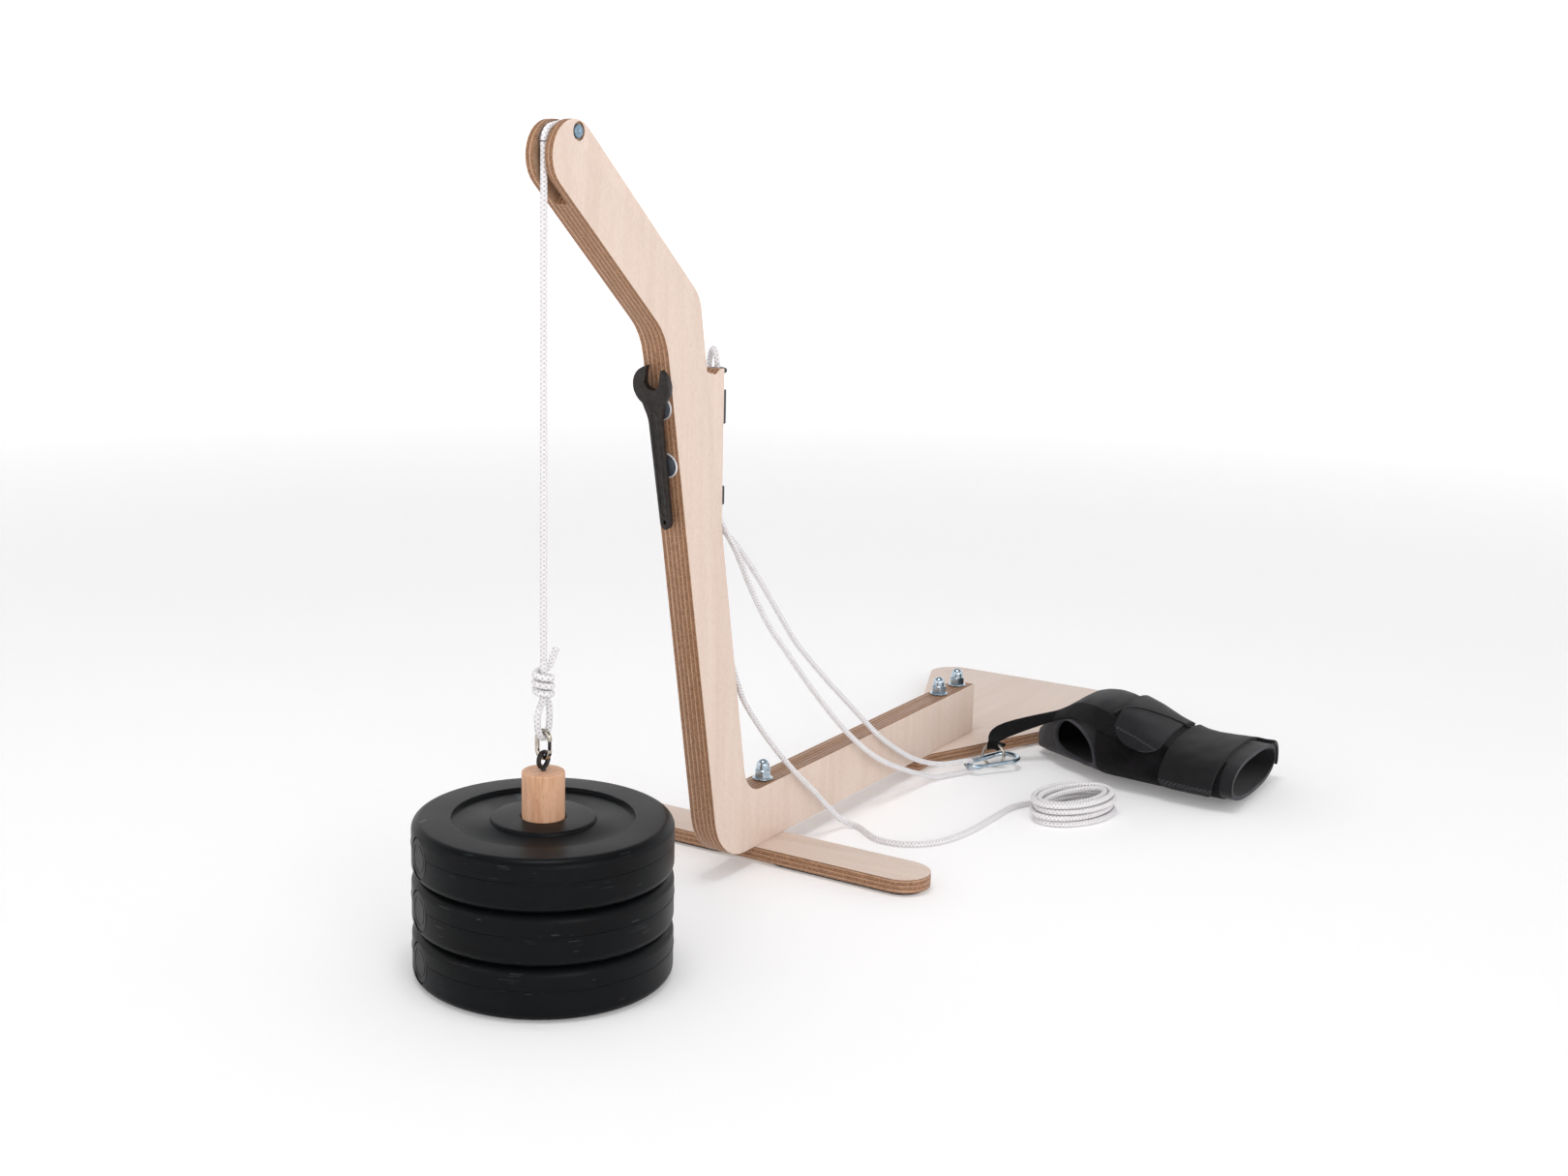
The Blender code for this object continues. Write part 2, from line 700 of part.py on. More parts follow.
def front_foot():
    """Crossbar under the post, with a rubber pad on each half."""
    bar_z = PAD_T + BOARD_T / 2
    outline = capsule(FOOT_HALF_X, FOOT_HALF_Y)
    foot = flat("crossbar_foot", [outline], BOARD_T - GAP, birch(), at=(0, 0, bar_z))
    board_bolt_seat(foot, FRONT_BOLT_X, "front_seat_cut")
    half = (FOOT_HALF_Y - FOOT_PAD_IN - FOOT_PAD_GAP / 2) / 2
    middle = FOOT_PAD_GAP / 2 + half
    for name, side in (("foot_pad_near", -1), ("foot_pad_far", 1)):
        outline = capsule(FOOT_HALF_X - FOOT_PAD_IN, half, 0.0, side * middle)
        flat(name, [outline], PAD_T - GAP / 2, rubber(), at=(0, 0, (PAD_T - GAP / 2) / 2))


def rear_plate_outline(inset=0.0, start_x=None):
    """Outline (x, y) of the flared rear plate, or of its pad."""
    slope = (PLATE_REAR_HALF - PLATE_NECK_HALF) / (PLATE_REAR_X - PLATE_FLARE_X)
    rear = PLATE_REAR_X - inset
    rear_half = PLATE_REAR_HALF - inset * (1 + slope)
    corner = PLATE_CORNER_R - inset / 2
    if start_x is None:
        front = [(PLATE_FLARE_X, -PLATE_NECK_HALF, 12.0), (PLATE_NECK_X, -PLATE_NECK_HALF, 3.0),
                 (PLATE_NECK_X, PLATE_NECK_HALF, 3.0), (PLATE_FLARE_X, PLATE_NECK_HALF, 12.0)]
    else:
        half = rear_half - slope * (rear - start_x)
        front = [(start_x, -half, 8.0), (start_x, half, 8.0)]
    return fillet([*front, (rear, rear_half, corner), (rear, -rear_half, corner)])


def rear_foot():
    """Flared plate under the rear of the beam, with its rubber pad."""
    board_z = PAD_T + BOARD_T / 2
    plate = flat("rear_plate", [rear_plate_outline()], BOARD_T - GAP, birch(), at=(0, 0, board_z))
    for index, x in enumerate(REAR_BOLT_XS):
        board_bolt_seat(plate, x, f"rear_seat_cut_{index}")
    pad = rear_plate_outline(PLATE_PAD_IN, PLATE_PAD_X)
    flat("rear_pad", [pad], PAD_T - GAP / 2, rubber(), at=(0, 0, (PAD_T - GAP / 2) / 2))


def frame_bolt(name, x):
    """Countersunk bolt from under a board up into its cap nut."""
    top = BEAM_Z1 + BOLT_IN_NUT
    low = PAD_T + GAP / 2
    profile = [(0.0, top), (BOLT_R - 0.6, top), (BOLT_R, top - 0.8), (BOLT_R, low + BOLT_HEAD_H),
               (BOLT_HEAD_R, low), (0.0, low)]
    turned(name, profile, zinc(), at=(x, 0, 0), steps=16)


def cap_nut(name, x):
    """Flanged cap nut: round flange, hexagon and dome over the bolt's end."""
    dome = NUT_DOME_R
    dome_z = NUT_H - dome
    turns = (math.radians(30.0 * k) for k in range(4))
    arc = [(dome * math.sin(a), dome_z + dome * math.cos(a)) for a in turns]
    profile = [*arc, (dome, NUT_HEX_TOP - 0.5), (dome + 0.3, NUT_FLANGE_H + 0.4),
               (NUT_FLANGE_R - 0.4, NUT_FLANGE_H), (NUT_FLANGE_R, NUT_FLANGE_H * 0.6),
               (NUT_FLANGE_R, 0.0), (0.0, 0.0)]
    nut = turned(name, profile, zinc(), at=(x, 0, BEAM_Z1 + GAP), steps=16)
    across = NUT_AF / math.cos(math.radians(30.0)) / 2
    hexagon = flat(name + "_hex", [circle(0, 0, across, 6)], NUT_HEX_TOP - 0.8,
                   at=(x, 0, BEAM_Z1 + GAP + (NUT_HEX_TOP + 0.8) / 2))
    crown = [(0.0, NUT_HEX_TOP), (NUT_AF / 2 - 0.4, NUT_HEX_TOP), (across + 0.3, NUT_HEX_TOP - 1.3),
             (across + 0.3, 0.2), (0.0, 0.2)]
    cut(hexagon, turned(name + "_crown", crown, at=(x, 0, BEAM_Z1 + GAP), steps=16), "INTERSECT")
    cut(nut, hexagon, "UNION")
    drill(nut, BOLT_R + GAP, (x, 0, BEAM_Z1 - 1), (x, 0, BEAM_Z1 + BOLT_IN_NUT + GAP), name + "_bore")


def roller():
    """Grooved roller on its axle between the cheeks of the head."""
    w = ROLLER_HALF_W
    depth = ROLLER_FLANGE_R - ROLLER_ROOT_R
    groove = []
    for k in range(6):
        angle = math.pi * k / 5
        groove.append((ROLLER_FLANGE_R - depth * math.sin(angle), (w - 0.8) * math.cos(angle)))
    bore = AXLE_R + GAP
    profile = [(bore, w), (ROLLER_FLANGE_R, w), *groove, (ROLLER_FLANGE_R, -w), (bore, -w)]
    turned("roller", profile, nickel(), at=(ROLLER_X, 0, ROLLER_Z), turn=UPRIGHT, ring=True)
    half = SLOT_W / 2 + AXLE_REACH - GAP
    pin = [(0.0, half), (AXLE_R, half), (AXLE_R, -half), (0.0, -half)]
    turned("roller_axle", pin, zinc(), at=(ROLLER_X, 0, ROLLER_Z), turn=UPRIGHT, steps=16)


def cross_bolt():
    """Sleeve bolt across the head, its flat heads sunk in the cheeks."""
    half = PANEL_T / 2
    seat = half - CROSS_SINK + GAP / 2
    face = seat + CROSS_HEAD_T
    profile = [(0.0, face), (CROSS_HEAD_R - 0.6, face), (CROSS_HEAD_R, face - 0.6), (CROSS_HEAD_R, seat),
               (CROSS_R, seat), (CROSS_R, -seat), (CROSS_HEAD_R, -seat), (CROSS_HEAD_R, 0.6 - face),
               (CROSS_HEAD_R - 0.6, -face), (0.0, -face)]
    turned("cross_bolt", profile, zinc(), at=(CROSS_X, 0, CROSS_Z), turn=UPRIGHT, steps=16)


def front_face_frame(z):
    """Empty on the post's front edge: its -X points out and its Z up the edge."""
    x, height = front_at(z)
    empty = bpy.data.objects.new(f"front_face_{round(z)}", None)
    collection(COLLECTION).objects.link(empty)
    place(empty, (x, 0, height), (0.0, -POST_LEAN, 0.0))
    bpy.context.view_layer.update()
    return empty


def magnets():
    """Two domed magnets in white rims on the post's front edge."""
    for name, z in zip(("upper", "lower"), MAGNET_ZS):
        seat = front_face_frame(z)
        rim_in = MAGNET_R + GAP
        ring = [(rim_in, MAGNET_RIM_H), (MAGNET_RIM_R, MAGNET_RIM_H), (MAGNET_RIM_R, 0.0), (rim_in, 0.0)]
        dome = [(0.0, MAGNET_H)]
        for k in range(1, 4):
            angle = math.radians(90.0 * k / 4)
            dome.append((MAGNET_R * math.sin(angle), 2.0 + (MAGNET_H - 2.0) * math.cos(angle)))
        dome += [(MAGNET_R, 2.0), (MAGNET_R, 0.0), (0.0, 0.0)]
        for part, profile, skin, closed in (("magnet_rim_", ring, white_plastic(), True),
                                            ("magnet_", dome, rubber(), False)):
            piece = turned(part + name, profile, skin, at=(-GAP, 0, 0), turn=(0.0, -math.pi / 2, 0.0),
                           steps=16, ring=closed)
            piece.parent = seat


def spanner():
    """Flat open-ended spanner lying on the magnets, its jaws up."""
    seat = front_face_frame(SPANNER_LOW_Z)
    centre = SPANNER_LENGTH - SPANNER_HEAD_R
    wide = SPANNER_WIDE / 2
    narrow = SPANNER_NARROW / 2
    neck = centre - SPANNER_HEAD_R * 0.75
    # Local axes of the flat outline: first across the handle, second up along it
    handle = fillet([(narrow, 0.0, narrow - 0.05), (wide, neck - SPANNER_SHOULDER, SPANNER_WAIST_R),
                     (wide + 5.0, neck + 6.0, 0.0), (-wide - 5.0, neck + 6.0, 0.0),
                     (-wide, neck - SPANNER_SHOULDER, SPANNER_WAIST_R), (-narrow, 0.0, narrow - 0.05)])
    out = -(GAP * 2 + MAGNET_H + SPANNER_T / 2)
    turn = (math.pi / 2, 0.0, -math.pi / 2)

    def layer(name, outlines, thickness, skin=None):
        piece = flat(name, outlines, thickness, skin, at=(out, 0, 0), turn=turn)
        piece.matrix_world = seat.matrix_world @ piece.matrix_world
        return piece

    tool = layer("spanner", [handle], SPANNER_T, black_metal())
    cut(tool, layer("spanner_head", [circle(0, centre, SPANNER_HEAD_R, 26)], SPANNER_T), "UNION")
    half = SPANNER_JAW / 2
    c, s = math.cos(SPANNER_TILT), math.sin(SPANNER_TILT)
    top = SPANNER_HEAD_R + 6.0
    low = SPANNER_HEAD_R - SPANNER_JAW_DEEP
    jaw = [(-half, top), (-half, low + half * 0.55), (-half * 0.45, low),
           (half * 0.45, low), (half, low + half * 0.55), (half, top)]
    jaw = [(a * c - b * s, centre + a * s + b * c) for a, b in jaw]
    cut(tool, layer("spanner_jaw", [jaw], SPANNER_T + 2))
    cut(tool, layer("spanner_hole", [circle(0, narrow + 1.0, SPANNER_HOLE_R, 12)], SPANNER_T + 2))


def cleat():
    """Cleat with a toothed V channel for the cord, screwed to the back of the post."""
    base_z = (CLEAT_LOW_Z + CLEAT_HIGH_Z) / 2
    half_z = (CLEAT_HIGH_Z - CLEAT_LOW_Z) / 2
    w = CLEAT_HALF_W
    base = fillet([(-w, -half_z, 5.0), (w, -half_z, 5.0), (w, half_z, 5.0), (-w, half_z, 5.0)])
    out = (math.pi / 2, 0.0, math.pi / 2)
    x0 = FACE_X + CLEAT_BASE_T / 2
    body = flat("cleat", [base], CLEAT_BASE_T, black_plastic(), at=(x0, 0, base_z), turn=out)
    x1 = FACE_X + JAW_PROUD
    floor = FACE_X + CLEAT_BASE_T + 0.6
    block = fillet([(x0, -w, 0.0), (x1, -w, 2.0), (x1, -JAW_MOUTH_HALF, 1.0), (floor, -JAW_FLOOR_HALF, 0.8),
                    (floor, JAW_FLOOR_HALF, 0.8), (x1, JAW_MOUTH_HALF, 1.0), (x1, w, 2.0), (x0, w, 0.0)],
                   math.radians(30.0))
    jaws = flat("cleat_jaws", [block], JAW_HIGH_Z - JAW_LOW_Z, at=(0, 0, (JAW_LOW_Z + JAW_HIGH_Z) / 2))
    cut(body, jaws, "UNION")
    count = int((JAW_HIGH_Z - JAW_LOW_Z - 2) / JAW_TOOTH_PITCH)
    lean = math.atan2(JAW_MOUTH_HALF - JAW_FLOOR_HALF, x1 - floor)
    for side in (-1, 1):
        for k in range(count):
            z = JAW_LOW_Z + 2.0 + k * JAW_TOOTH_PITCH
            tooth = [(0.0, 0.0), (0.0, JAW_TOOTH_PITCH * 0.7), (-JAW_TOOTH - 0.6, JAW_TOOTH_PITCH * 0.7)]
            rib = flat(f"cleat_tooth_{side + 1}_{k}", [tooth], (x1 - floor) * 0.72)
            wall = (JAW_MOUTH_HALF + JAW_FLOOR_HALF) / 2 + 0.6
            rib.matrix_world = (Matrix.Translation(Vector(((x1 + floor) / 2, side * wall, z)) * MM)
                                @ Matrix.Rotation(side * lean, 4, "Z")
                                @ Matrix(((0, 0, 1, 0), (side, 0, 0, 0), (0, 1, 0, 0), (0, 0, 0, 1))))
            cut(body, rib, "UNION")
    screws = ((CLEAT_LOW_Z + JAW_LOW_Z) / 2, (CLEAT_HIGH_Z + JAW_HIGH_Z) / 2)
    for name, z in zip(("cleat_screw_low", "cleat_screw_high"), screws):
        drill(body, CLEAT_SHANK_R + GAP, (FACE_X - 1, 0, z), (FACE_X + CLEAT_BASE_T + 1, 0, z), name + "_cut")
        seat = FACE_X + CLEAT_BASE_T + GAP
        head = [(0.0, CLEAT_SCREW_H), (CLEAT_SCREW_R * 0.6, CLEAT_SCREW_H),
                (CLEAT_SCREW_R, CLEAT_SCREW_H * 0.4), (CLEAT_SCREW_R, 0.0),
                (CLEAT_SHANK_R, 0.0), (CLEAT_SHANK_R, -CLEAT_BASE_T), (0.0, -CLEAT_BASE_T)]
        turned(name, head, zinc(), at=(seat, 0, z), turn=(0.0, math.pi / 2, 0.0), steps=12)


def ring_profile(radius, wire, steps=8):
    """Section of a round ring, running down its outer side first."""
    turn = 2 * math.pi / steps
    return [(radius + wire * math.cos(math.pi / 2 - k * turn), wire * math.sin(math.pi / 2 - k * turn))
            for k in range(steps)]


def guides():
    """Eye above the cleat and hoop below it, both on the back of the post."""
    eye_x = FACE_X + GUIDE_RING_R + GUIDE_WIRE_R
    turned("tail_guide", ring_profile(GUIDE_RING_R, GUIDE_WIRE_R), black_plastic(), at=(eye_x, 0, GUIDE_Z),
           steps=16, ring=True)
    hole_x = FACE_X + HOOP_HOLE_DEEP
    outer_x = hole_x + HOOP_WALL
    section = fillet([(FACE_X, -HOOP_HALF_W, 0.0),
                      (outer_x, -HOOP_HALF_W, 4.5), (outer_x, HOOP_HALF_W, 4.5),
                      (FACE_X, HOOP_HALF_W, 0.0), (FACE_X, HOOP_HOLE_HALF, 0.0),
                      (hole_x, HOOP_HOLE_HALF, 2.2), (hole_x, -HOOP_HOLE_HALF, 2.2),
                      (FACE_X, -HOOP_HOLE_HALF, 0.0)])
    flat("lower_fairlead", [section], HOOP_HIGH_Z - HOOP_LOW_Z, black_plastic(),
         at=(0, 0, (HOOP_LOW_Z + HOOP_HIGH_Z) / 2))


STACK_X = ROLLER_X - ROLLER_ROOT_R - CORD_R - GAP
PITCH = PLATE_T + GAP
CORE_LOW_Z = PLATE_FOOT_DEEP
CORE_TOP_Z = PLATE_COUNT * PITCH + CORE_PROUD


def weight_plate(index):
    """One cement-filled plate with its filler plug in the rim."""
    low = GAP + index * PITCH
    high = PLATE_T
    r = PLATE_R
    soft = PLATE_RIM_ROUND
    side_top = [(r - soft + soft * math.sin(a), high - soft + soft * math.cos(a))
                for a in (math.radians(45 * k) for k in range(3))]
    side_low = [(r - soft + soft * math.cos(a), soft - soft * math.sin(a))
                for a in (math.radians(45 * k) for k in range(3))]
    profile = [
        (PLATE_BORE_R, high), (PLATE_HUB_R - 2, high), (PLATE_HUB_R, high - PLATE_DISH_DEEP),
        (PLATE_DISH_R - 3, high - PLATE_DISH_DEEP), (PLATE_DISH_R, high),
        *side_top, *side_low,
        (PLATE_DISH_R, 0.0), (PLATE_DISH_R - 2, PLATE_FOOT_DEEP), (PLATE_BORE_R, PLATE_FOOT_DEEP),
    ]
    name = f"weight_plate_{index + 1}"
    plate = turned(name, profile, plate_vinyl(), at=(STACK_X, 0, low), steps=PLATE_STEPS, ring=True)
    direction = Vector((math.cos(PLUG_AZIMUTH), math.sin(PLUG_AZIMUTH), 0.0))
    middle = Vector((STACK_X, 0.0, low + PLATE_T / 2))
    inner = middle + direction * (PLUG_FACE_R - PLUG_T - GAP)
    outer = middle + direction * (PLATE_R + 2)
    drill(plate, PLUG_R + GAP, tuple(inner), tuple(outer), name + "_plug_cut", PLUG_STEPS)
    cap = [(0.0, 0.0), (PLUG_R - 1.2, 0.0), (PLUG_R, -1.2), (PLUG_R, -PLUG_T), (0.0, -PLUG_T)]
    plug = turned(f"plate_plug_{index + 1}", cap, plate_vinyl(), steps=PLUG_STEPS)
    plug.location = (middle + direction * PLUG_FACE_R) * MM
    plug.rotation_mode = "QUATERNION"
    plug.rotation_quaternion = direction.to_track_quat("Z", "Y")


def stack_core():
    """Beech core through the plates, the washer that carries them, and the screw eye."""
    top = CORE_TOP_Z
    core = [(0.0, top), (CORE_R - 1.2, top), (CORE_R, top - 1.2), (CORE_R, CORE_LOW_Z + 1),
            (CORE_R - 1, CORE_LOW_Z), (0.0, CORE_LOW_Z)]
    wood = turned("stack_core", core, beech(), at=(STACK_X, 0, GAP))
    drill(wood, EYE_WIRE_R + GAP, (STACK_X, 0, top - EYE_DEEP), (STACK_X, 0, top + 2), "eye_hole_cut")
    drill(wood, WASHER_SCREW_R / 2 + GAP, (STACK_X, 0, 0), (STACK_X, 0, CORE_LOW_Z + 22), "washer_hole_cut")
    low = CORE_LOW_Z - WASHER_T
    washer = [(WASHER_SCREW_R / 2 + GAP, CORE_LOW_Z), (WASHER_R, CORE_LOW_Z), (WASHER_R, low),
              (WASHER_SCREW_R + 1.0, low), (WASHER_SCREW_R / 2 + GAP, low + 2.2)]
    turned("core_washer", washer, zinc(), at=(STACK_X, 0, 0), ring=True)
    screw = [(0.0, CORE_LOW_Z + 20), (WASHER_SCREW_R / 2, CORE_LOW_Z + 18), (WASHER_SCREW_R / 2, low + 2.1),
             (WASHER_SCREW_R, low), (0.0, low)]
    turned("washer_screw", screw, zinc(), at=(STACK_X, 0, -0.1), steps=24)


EYE_Z = CORE_TOP_Z + GAP + EYE_RING_R + EYE_WIRE_R + 0.8
SNAP_Z = EYE_Z + EYE_RING_R - EYE_WIRE_R - SNAP_WIRE_R - GAP + SNAP_HALF_H
KNOT_Z = SNAP_Z + SNAP_HALF_H + KNOT_RISE


def screw_eye():
    """Screw eye: a wire loop on a shank in the core."""
    shank = [(STACK_X, 0.0, CORE_TOP_Z - EYE_DEEP + 1.0), (STACK_X, 0.0, EYE_Z - EYE_RING_R - 1.2)]
    first = math.radians(-62.0)
    sweep = math.radians(302.0)
    ring = []
    for k in range(17):
        angle = first + sweep * k / 16
        ring.append((STACK_X + EYE_RING_R * math.cos(angle), 0.0, EYE_Z + EYE_RING_R * math.sin(angle)))
    tube("core_eye", shank + ring, EYE_WIRE_R, black_metal(), resolution=2)


def snap_ring():
    """Oval snap ring through the eye, with its hinged gate on the left side."""
    points = []
    gate_half = SNAP_HALF_H - SNAP_HALF_W
    for k in range(10):
        angle = math.radians(180.0 - 20.0 * k)
        points.append((0.0, SNAP_HALF_W * math.cos(angle), gate_half + SNAP_HALF_W * math.sin(angle)))
    for k in range(10):
        angle = math.radians(-20.0 * k)
        points.append((0.0, SNAP_HALF_W * math.cos(angle), SNAP_HALF_W * math.sin(angle) - gate_half))
    stub = gate_half - SNAP_STUB
    path = [(0.0, -SNAP_HALF_W, stub), *points, (0.0, -SNAP_HALF_W, -stub)]
    body = tube("snap_ring", path, SNAP_WIRE_R, nickel())
    place(body, (STACK_X, 0, SNAP_Z))
    reach = gate_half - SNAP_STUB - GAP
    gate = tube("snap_gate", [(0.0, 0.0, 0.0), (0.0, 0.0, 2 * reach)], SNAP_GATE_R, black_metal())
    place(gate, (STACK_X, -SNAP_HALF_W, SNAP_Z - reach))


def knot_path():
    """Free end, three turns round the standing part, the loop, and up the middle."""
    low = KNOT_Z + CORD_R
    turns = []
    count = KNOT_TURNS * 12
    top = low + KNOT_TURNS * KNOT_PITCH
    for k in range(count + 1):
        angle = math.radians(30.0) + 2 * math.pi * k / 12
        across = (KNOT_COIL_R * math.cos(angle), KNOT_COIL_R * math.sin(angle))
        turns.append((*across, top - KNOT_PITCH * k / 12))
    tail = [(TAIL_REACH * 0.87, 0.0, top + 15.0), (TAIL_REACH * 0.72, 1.0, top + 9.0),
            (9.5, 1.4, top + 3.0)]
    bottom = SNAP_Z + SNAP_HALF_H - SNAP_WIRE_R - CORD_R - 2 * GAP
    w = LOOP_HALF_W
    loop = [(w + 1.6, 1.8, low - 6.5), (w + 1.2, 0.3, low - 14.0), (w * 0.8, 0.0, bottom + 4.0),
            (0.0, 0.0, bottom), (-w * 0.8, 0.0, bottom + 4.0), (-w - 0.6, 0.0, low - 15.0),
            (-w * 0.75, 0.0, low - 9.0),
            (-1.4, 0.0, low - 4.5), (0.0, 0.0, low + 1.0), (0.0, 0.0, top + 3.0), (0.0, 0.0, top + 9.0)]
    route = [(STACK_X + x, y, z) for x, y, z in tail + turns + loop]
    return smooth(route, 6.0, KNOT_BEND_STEP)


KNOT_TOP_Z = KNOT_Z + CORD_R + KNOT_TURNS * KNOT_PITCH + 9.0


def knot():
    """The knot and its loop, one unbroken cord."""
    points = knot_path()
    tube("cord_knot", points, CORD_R, white_cord(), resolution=1)
    report_gap("cord_knot", points)


def report_gap(name, points):
    """Print a wound cord's length and its least gap to itself."""
    reach = 0.0
    marks = [0.0]
    for a, b in zip(points, points[1:]):
        reach += math.dist(a, b)
        marks.append(reach)
    least = min(math.dist(p, q) for i, p in enumerate(points) for j, q in enumerate(points[:i])
                if marks[i] - marks[j] > 4 * CORD_R)
    print(f"{name}: length {reach:.0f} mm, least gap to itself {least - 2 * CORD_R:.2f} mm")


def over_frame_path():
    """Cord from the roller over the cross bolt and down the channel to the hoop."""
    centre = ROLLER_ROOT_R + CORD_R + GAP
    route = [(STACK_X, 0.0, ROLLER_Z + GAP)]
    for k in range(1, 8):
        angle = math.radians(180.0 - 12.5 * k)
        route.append((ROLLER_X + centre * math.cos(angle), 0.0, ROLLER_Z + centre * math.sin(angle)))
    over = CROSS_R + CORD_R + GAP
    for k in range(3):
        angle = math.radians(92.0 - 20.0 * k)
        route.append((CROSS_X + over * math.cos(angle), 0.0, CROSS_Z + over * math.sin(angle)))
    depth = -(CHANNEL_DEPTH - CORD_R - 1.0)
    arm = arm_line(ARM_UPPER, depth)
    elbow = crossing(post_line(POST_BACK, depth), POST_UP, arm, ARM_OUT)
    start = shift(arm, ARM_OUT, ARM_LENGTH - SLOT_BACK)
    leave_z = MOUTH_HIGH_Z + 8.0
    bend = fillet([(*start, 0.0), (*elbow, ELBOW_OUT_R + depth), (back_x(leave_z, depth), leave_z, 0.0)])
    route += [(x, 0.0, z) for x, z in bend]
    hoop = STRAND_OUT[0]
    mouth = [(back_x(leave_z, depth), 0.0, leave_z),
             (back_x(MOUTH_HIGH_Z - 6.0, depth) + 1.0, -0.4, MOUTH_HIGH_Z - 6.0),
             (INNER_X - 8.5, -0.8, MOUTH_LOW_Z + 10.0), (INNER_X + 0.9, -1.8, MOUTH_LOW_Z + 5.6),
             (INNER_X + 3.1, -2.8, MOUTH_LOW_Z), (hoop[0], hoop[1], hoop[2] + 5.0)]
    return [*route, *smooth(mouth, CORD_STEP)[1:], (hoop[0], hoop[1], hoop[2] + GAP)]


def carabiner_matrix():
    """Place of the carabiner: its length along X, its nose end at -X."""
    return (Matrix.Translation(Vector(CARABINER_AT)) @ Matrix.Rotation(CARABINER_TURN, 4, "Z")
            @ Matrix.Rotation(CARABINER_TILT, 4, "Y"))


def user_path():
    """Strand out to the carabiner, round its small end, and back to the cleat."""
    wire = carabiner_matrix() @ Vector((-CARABINER_LENGTH / 2 + CARABINER_WIRE_R, 0.0, 0.0))
    along = (carabiner_matrix().to_3x3() @ Vector((1.0, 0.0, 0.0))).normalized()
    turn_r = CARABINER_WIRE_R + CORD_R + GAP
    bend = []
    for k in range(7):
        angle = math.radians(-90.0 + 30.0 * k)
        reach = Vector((0, 0, turn_r * math.sin(angle)))
        bend.append(tuple(wire + along * (turn_r * math.cos(angle)) + reach))
    out = smooth([*STRAND_OUT[1:], bend[0]], CORD_STEP)
    back = smooth([bend[-1], *STRAND_BACK], CORD_STEP)
    return [STRAND_OUT[0], *out[:-1], *bend, *back[1:]]


def hank_path():
    """Oval loops in layers that spiral in and out again, with a straight lead at each end."""
    per_loop = 24
    c, s = math.cos(HANK_TURN), math.sin(HANK_TURN)
    points = []
    for k in range(HANK_RINGS * HANK_LAYERS * per_loop + 1):
        turns = k / per_loop
        layer = min(int(turns // HANK_RINGS), HANK_LAYERS - 1)
        within = turns - layer * HANK_RINGS
        inward = within if layer % 2 == 0 else HANK_RINGS - within
        climb = 0.0
        if within < 0.25 and layer > 0:
            climb = 2 * (within - 0.25)
        if within > HANK_RINGS - 0.25 and layer < HANK_LAYERS - 1:
            climb = 2 * (within - HANK_RINGS + 0.25)
        height = CORD_R + GAP + (layer + climb) * HANK_RISE
        angle = HANK_START - 2 * math.pi * turns
        x = (HANK_HALF_L - inward * HANK_STEP) * math.cos(angle)
        y = (HANK_HALF_W - inward * HANK_STEP) * math.sin(angle)
        points.append(Vector((HANK_AT[0] + x * c - y * s, HANK_AT[1] + x * s + y * c, height)))
    lead = (points[0] - points[1]).normalized() * (2 * CORD_R)
    end = (points[-1] - points[-2]).normalized() * (2 * CORD_R)
    points = [points[0] + lead, *points, points[-1] + end]
    return [tuple(p) for p in points]


def cords():
    """All stretches of the one cord."""
    drop = [(STACK_X, 0.0, KNOT_TOP_Z + GAP), (STACK_X, 0.0, ROLLER_Z - GAP)]
    hank = hank_path()
    start, after = Vector(hank[0]), Vector(hank[1])
    lead = (start - after).normalized()
    tail = smooth([*TAIL_FROM_CLEAT, tuple(start + lead * 16.0), tuple(start + lead * 8.0)], CORD_STEP)
    tail.append(tuple(start + lead * GAP))
    stretches = (("cord_drop", drop), ("cord_over_frame", over_frame_path()), ("cord_user", user_path()),
                 ("cord_tail", tail))
    for name, points in stretches:
        tube(name, points, CORD_R, white_cord())
        print(f"{name}: length {length_of(points):.0f} mm, {len(points)} points")
    tube("cord_hank", hank, CORD_R, white_cord(), resolution=1)
    report_gap("cord_hank", hank)


def carabiner():
    """Snap carabiner with a hinged gate, linked to the cuff's ring."""
    half = CARABINER_LENGTH / 2 - CARABINER_WIRE_R
    small, big = CARABINER_SMALL_R, CARABINER_BIG_R
    path = []
    for k in range(11):
        angle = math.radians(280.0 - 20.0 * k)
        path.append((small - half + small * math.cos(angle), small * math.sin(angle), 0.0))
    for k in range(11):
        angle = math.radians(80.0 - 16.0 * k)
        path.append((half - big + big * math.cos(angle), big * math.sin(angle), 0.0))
    world = carabiner_matrix()
    body = tube("carabiner", path, CARABINER_WIRE_R, zinc())
    hinge, nose = Vector(path[-1]), Vector(path[0])
    run = (nose - hinge).normalized()
    gate_path = [tuple(run * CARABINER_HINGE_CLEAR), tuple(nose - hinge - run * CARABINER_NOSE_CLEAR)]
    gate = tube("carabiner_gate", gate_path, CARABINER_GATE_R, zinc())
    for obj, offset in ((body, Vector((0, 0, 0))), (gate, hinge)):
        placed = world @ Matrix.Translation(offset)
        placed.translation = placed.translation * MM
        obj.matrix_world = placed


def link_ring():
    """Round ring between the carabiner and the cuff's strap."""
    turned("link_ring", ring_profile(RING_R, RING_WIRE_R), nickel(), at=RING_AT,
           turn=(0.0, math.pi / 2, RING_TURN), steps=20, ring=True)


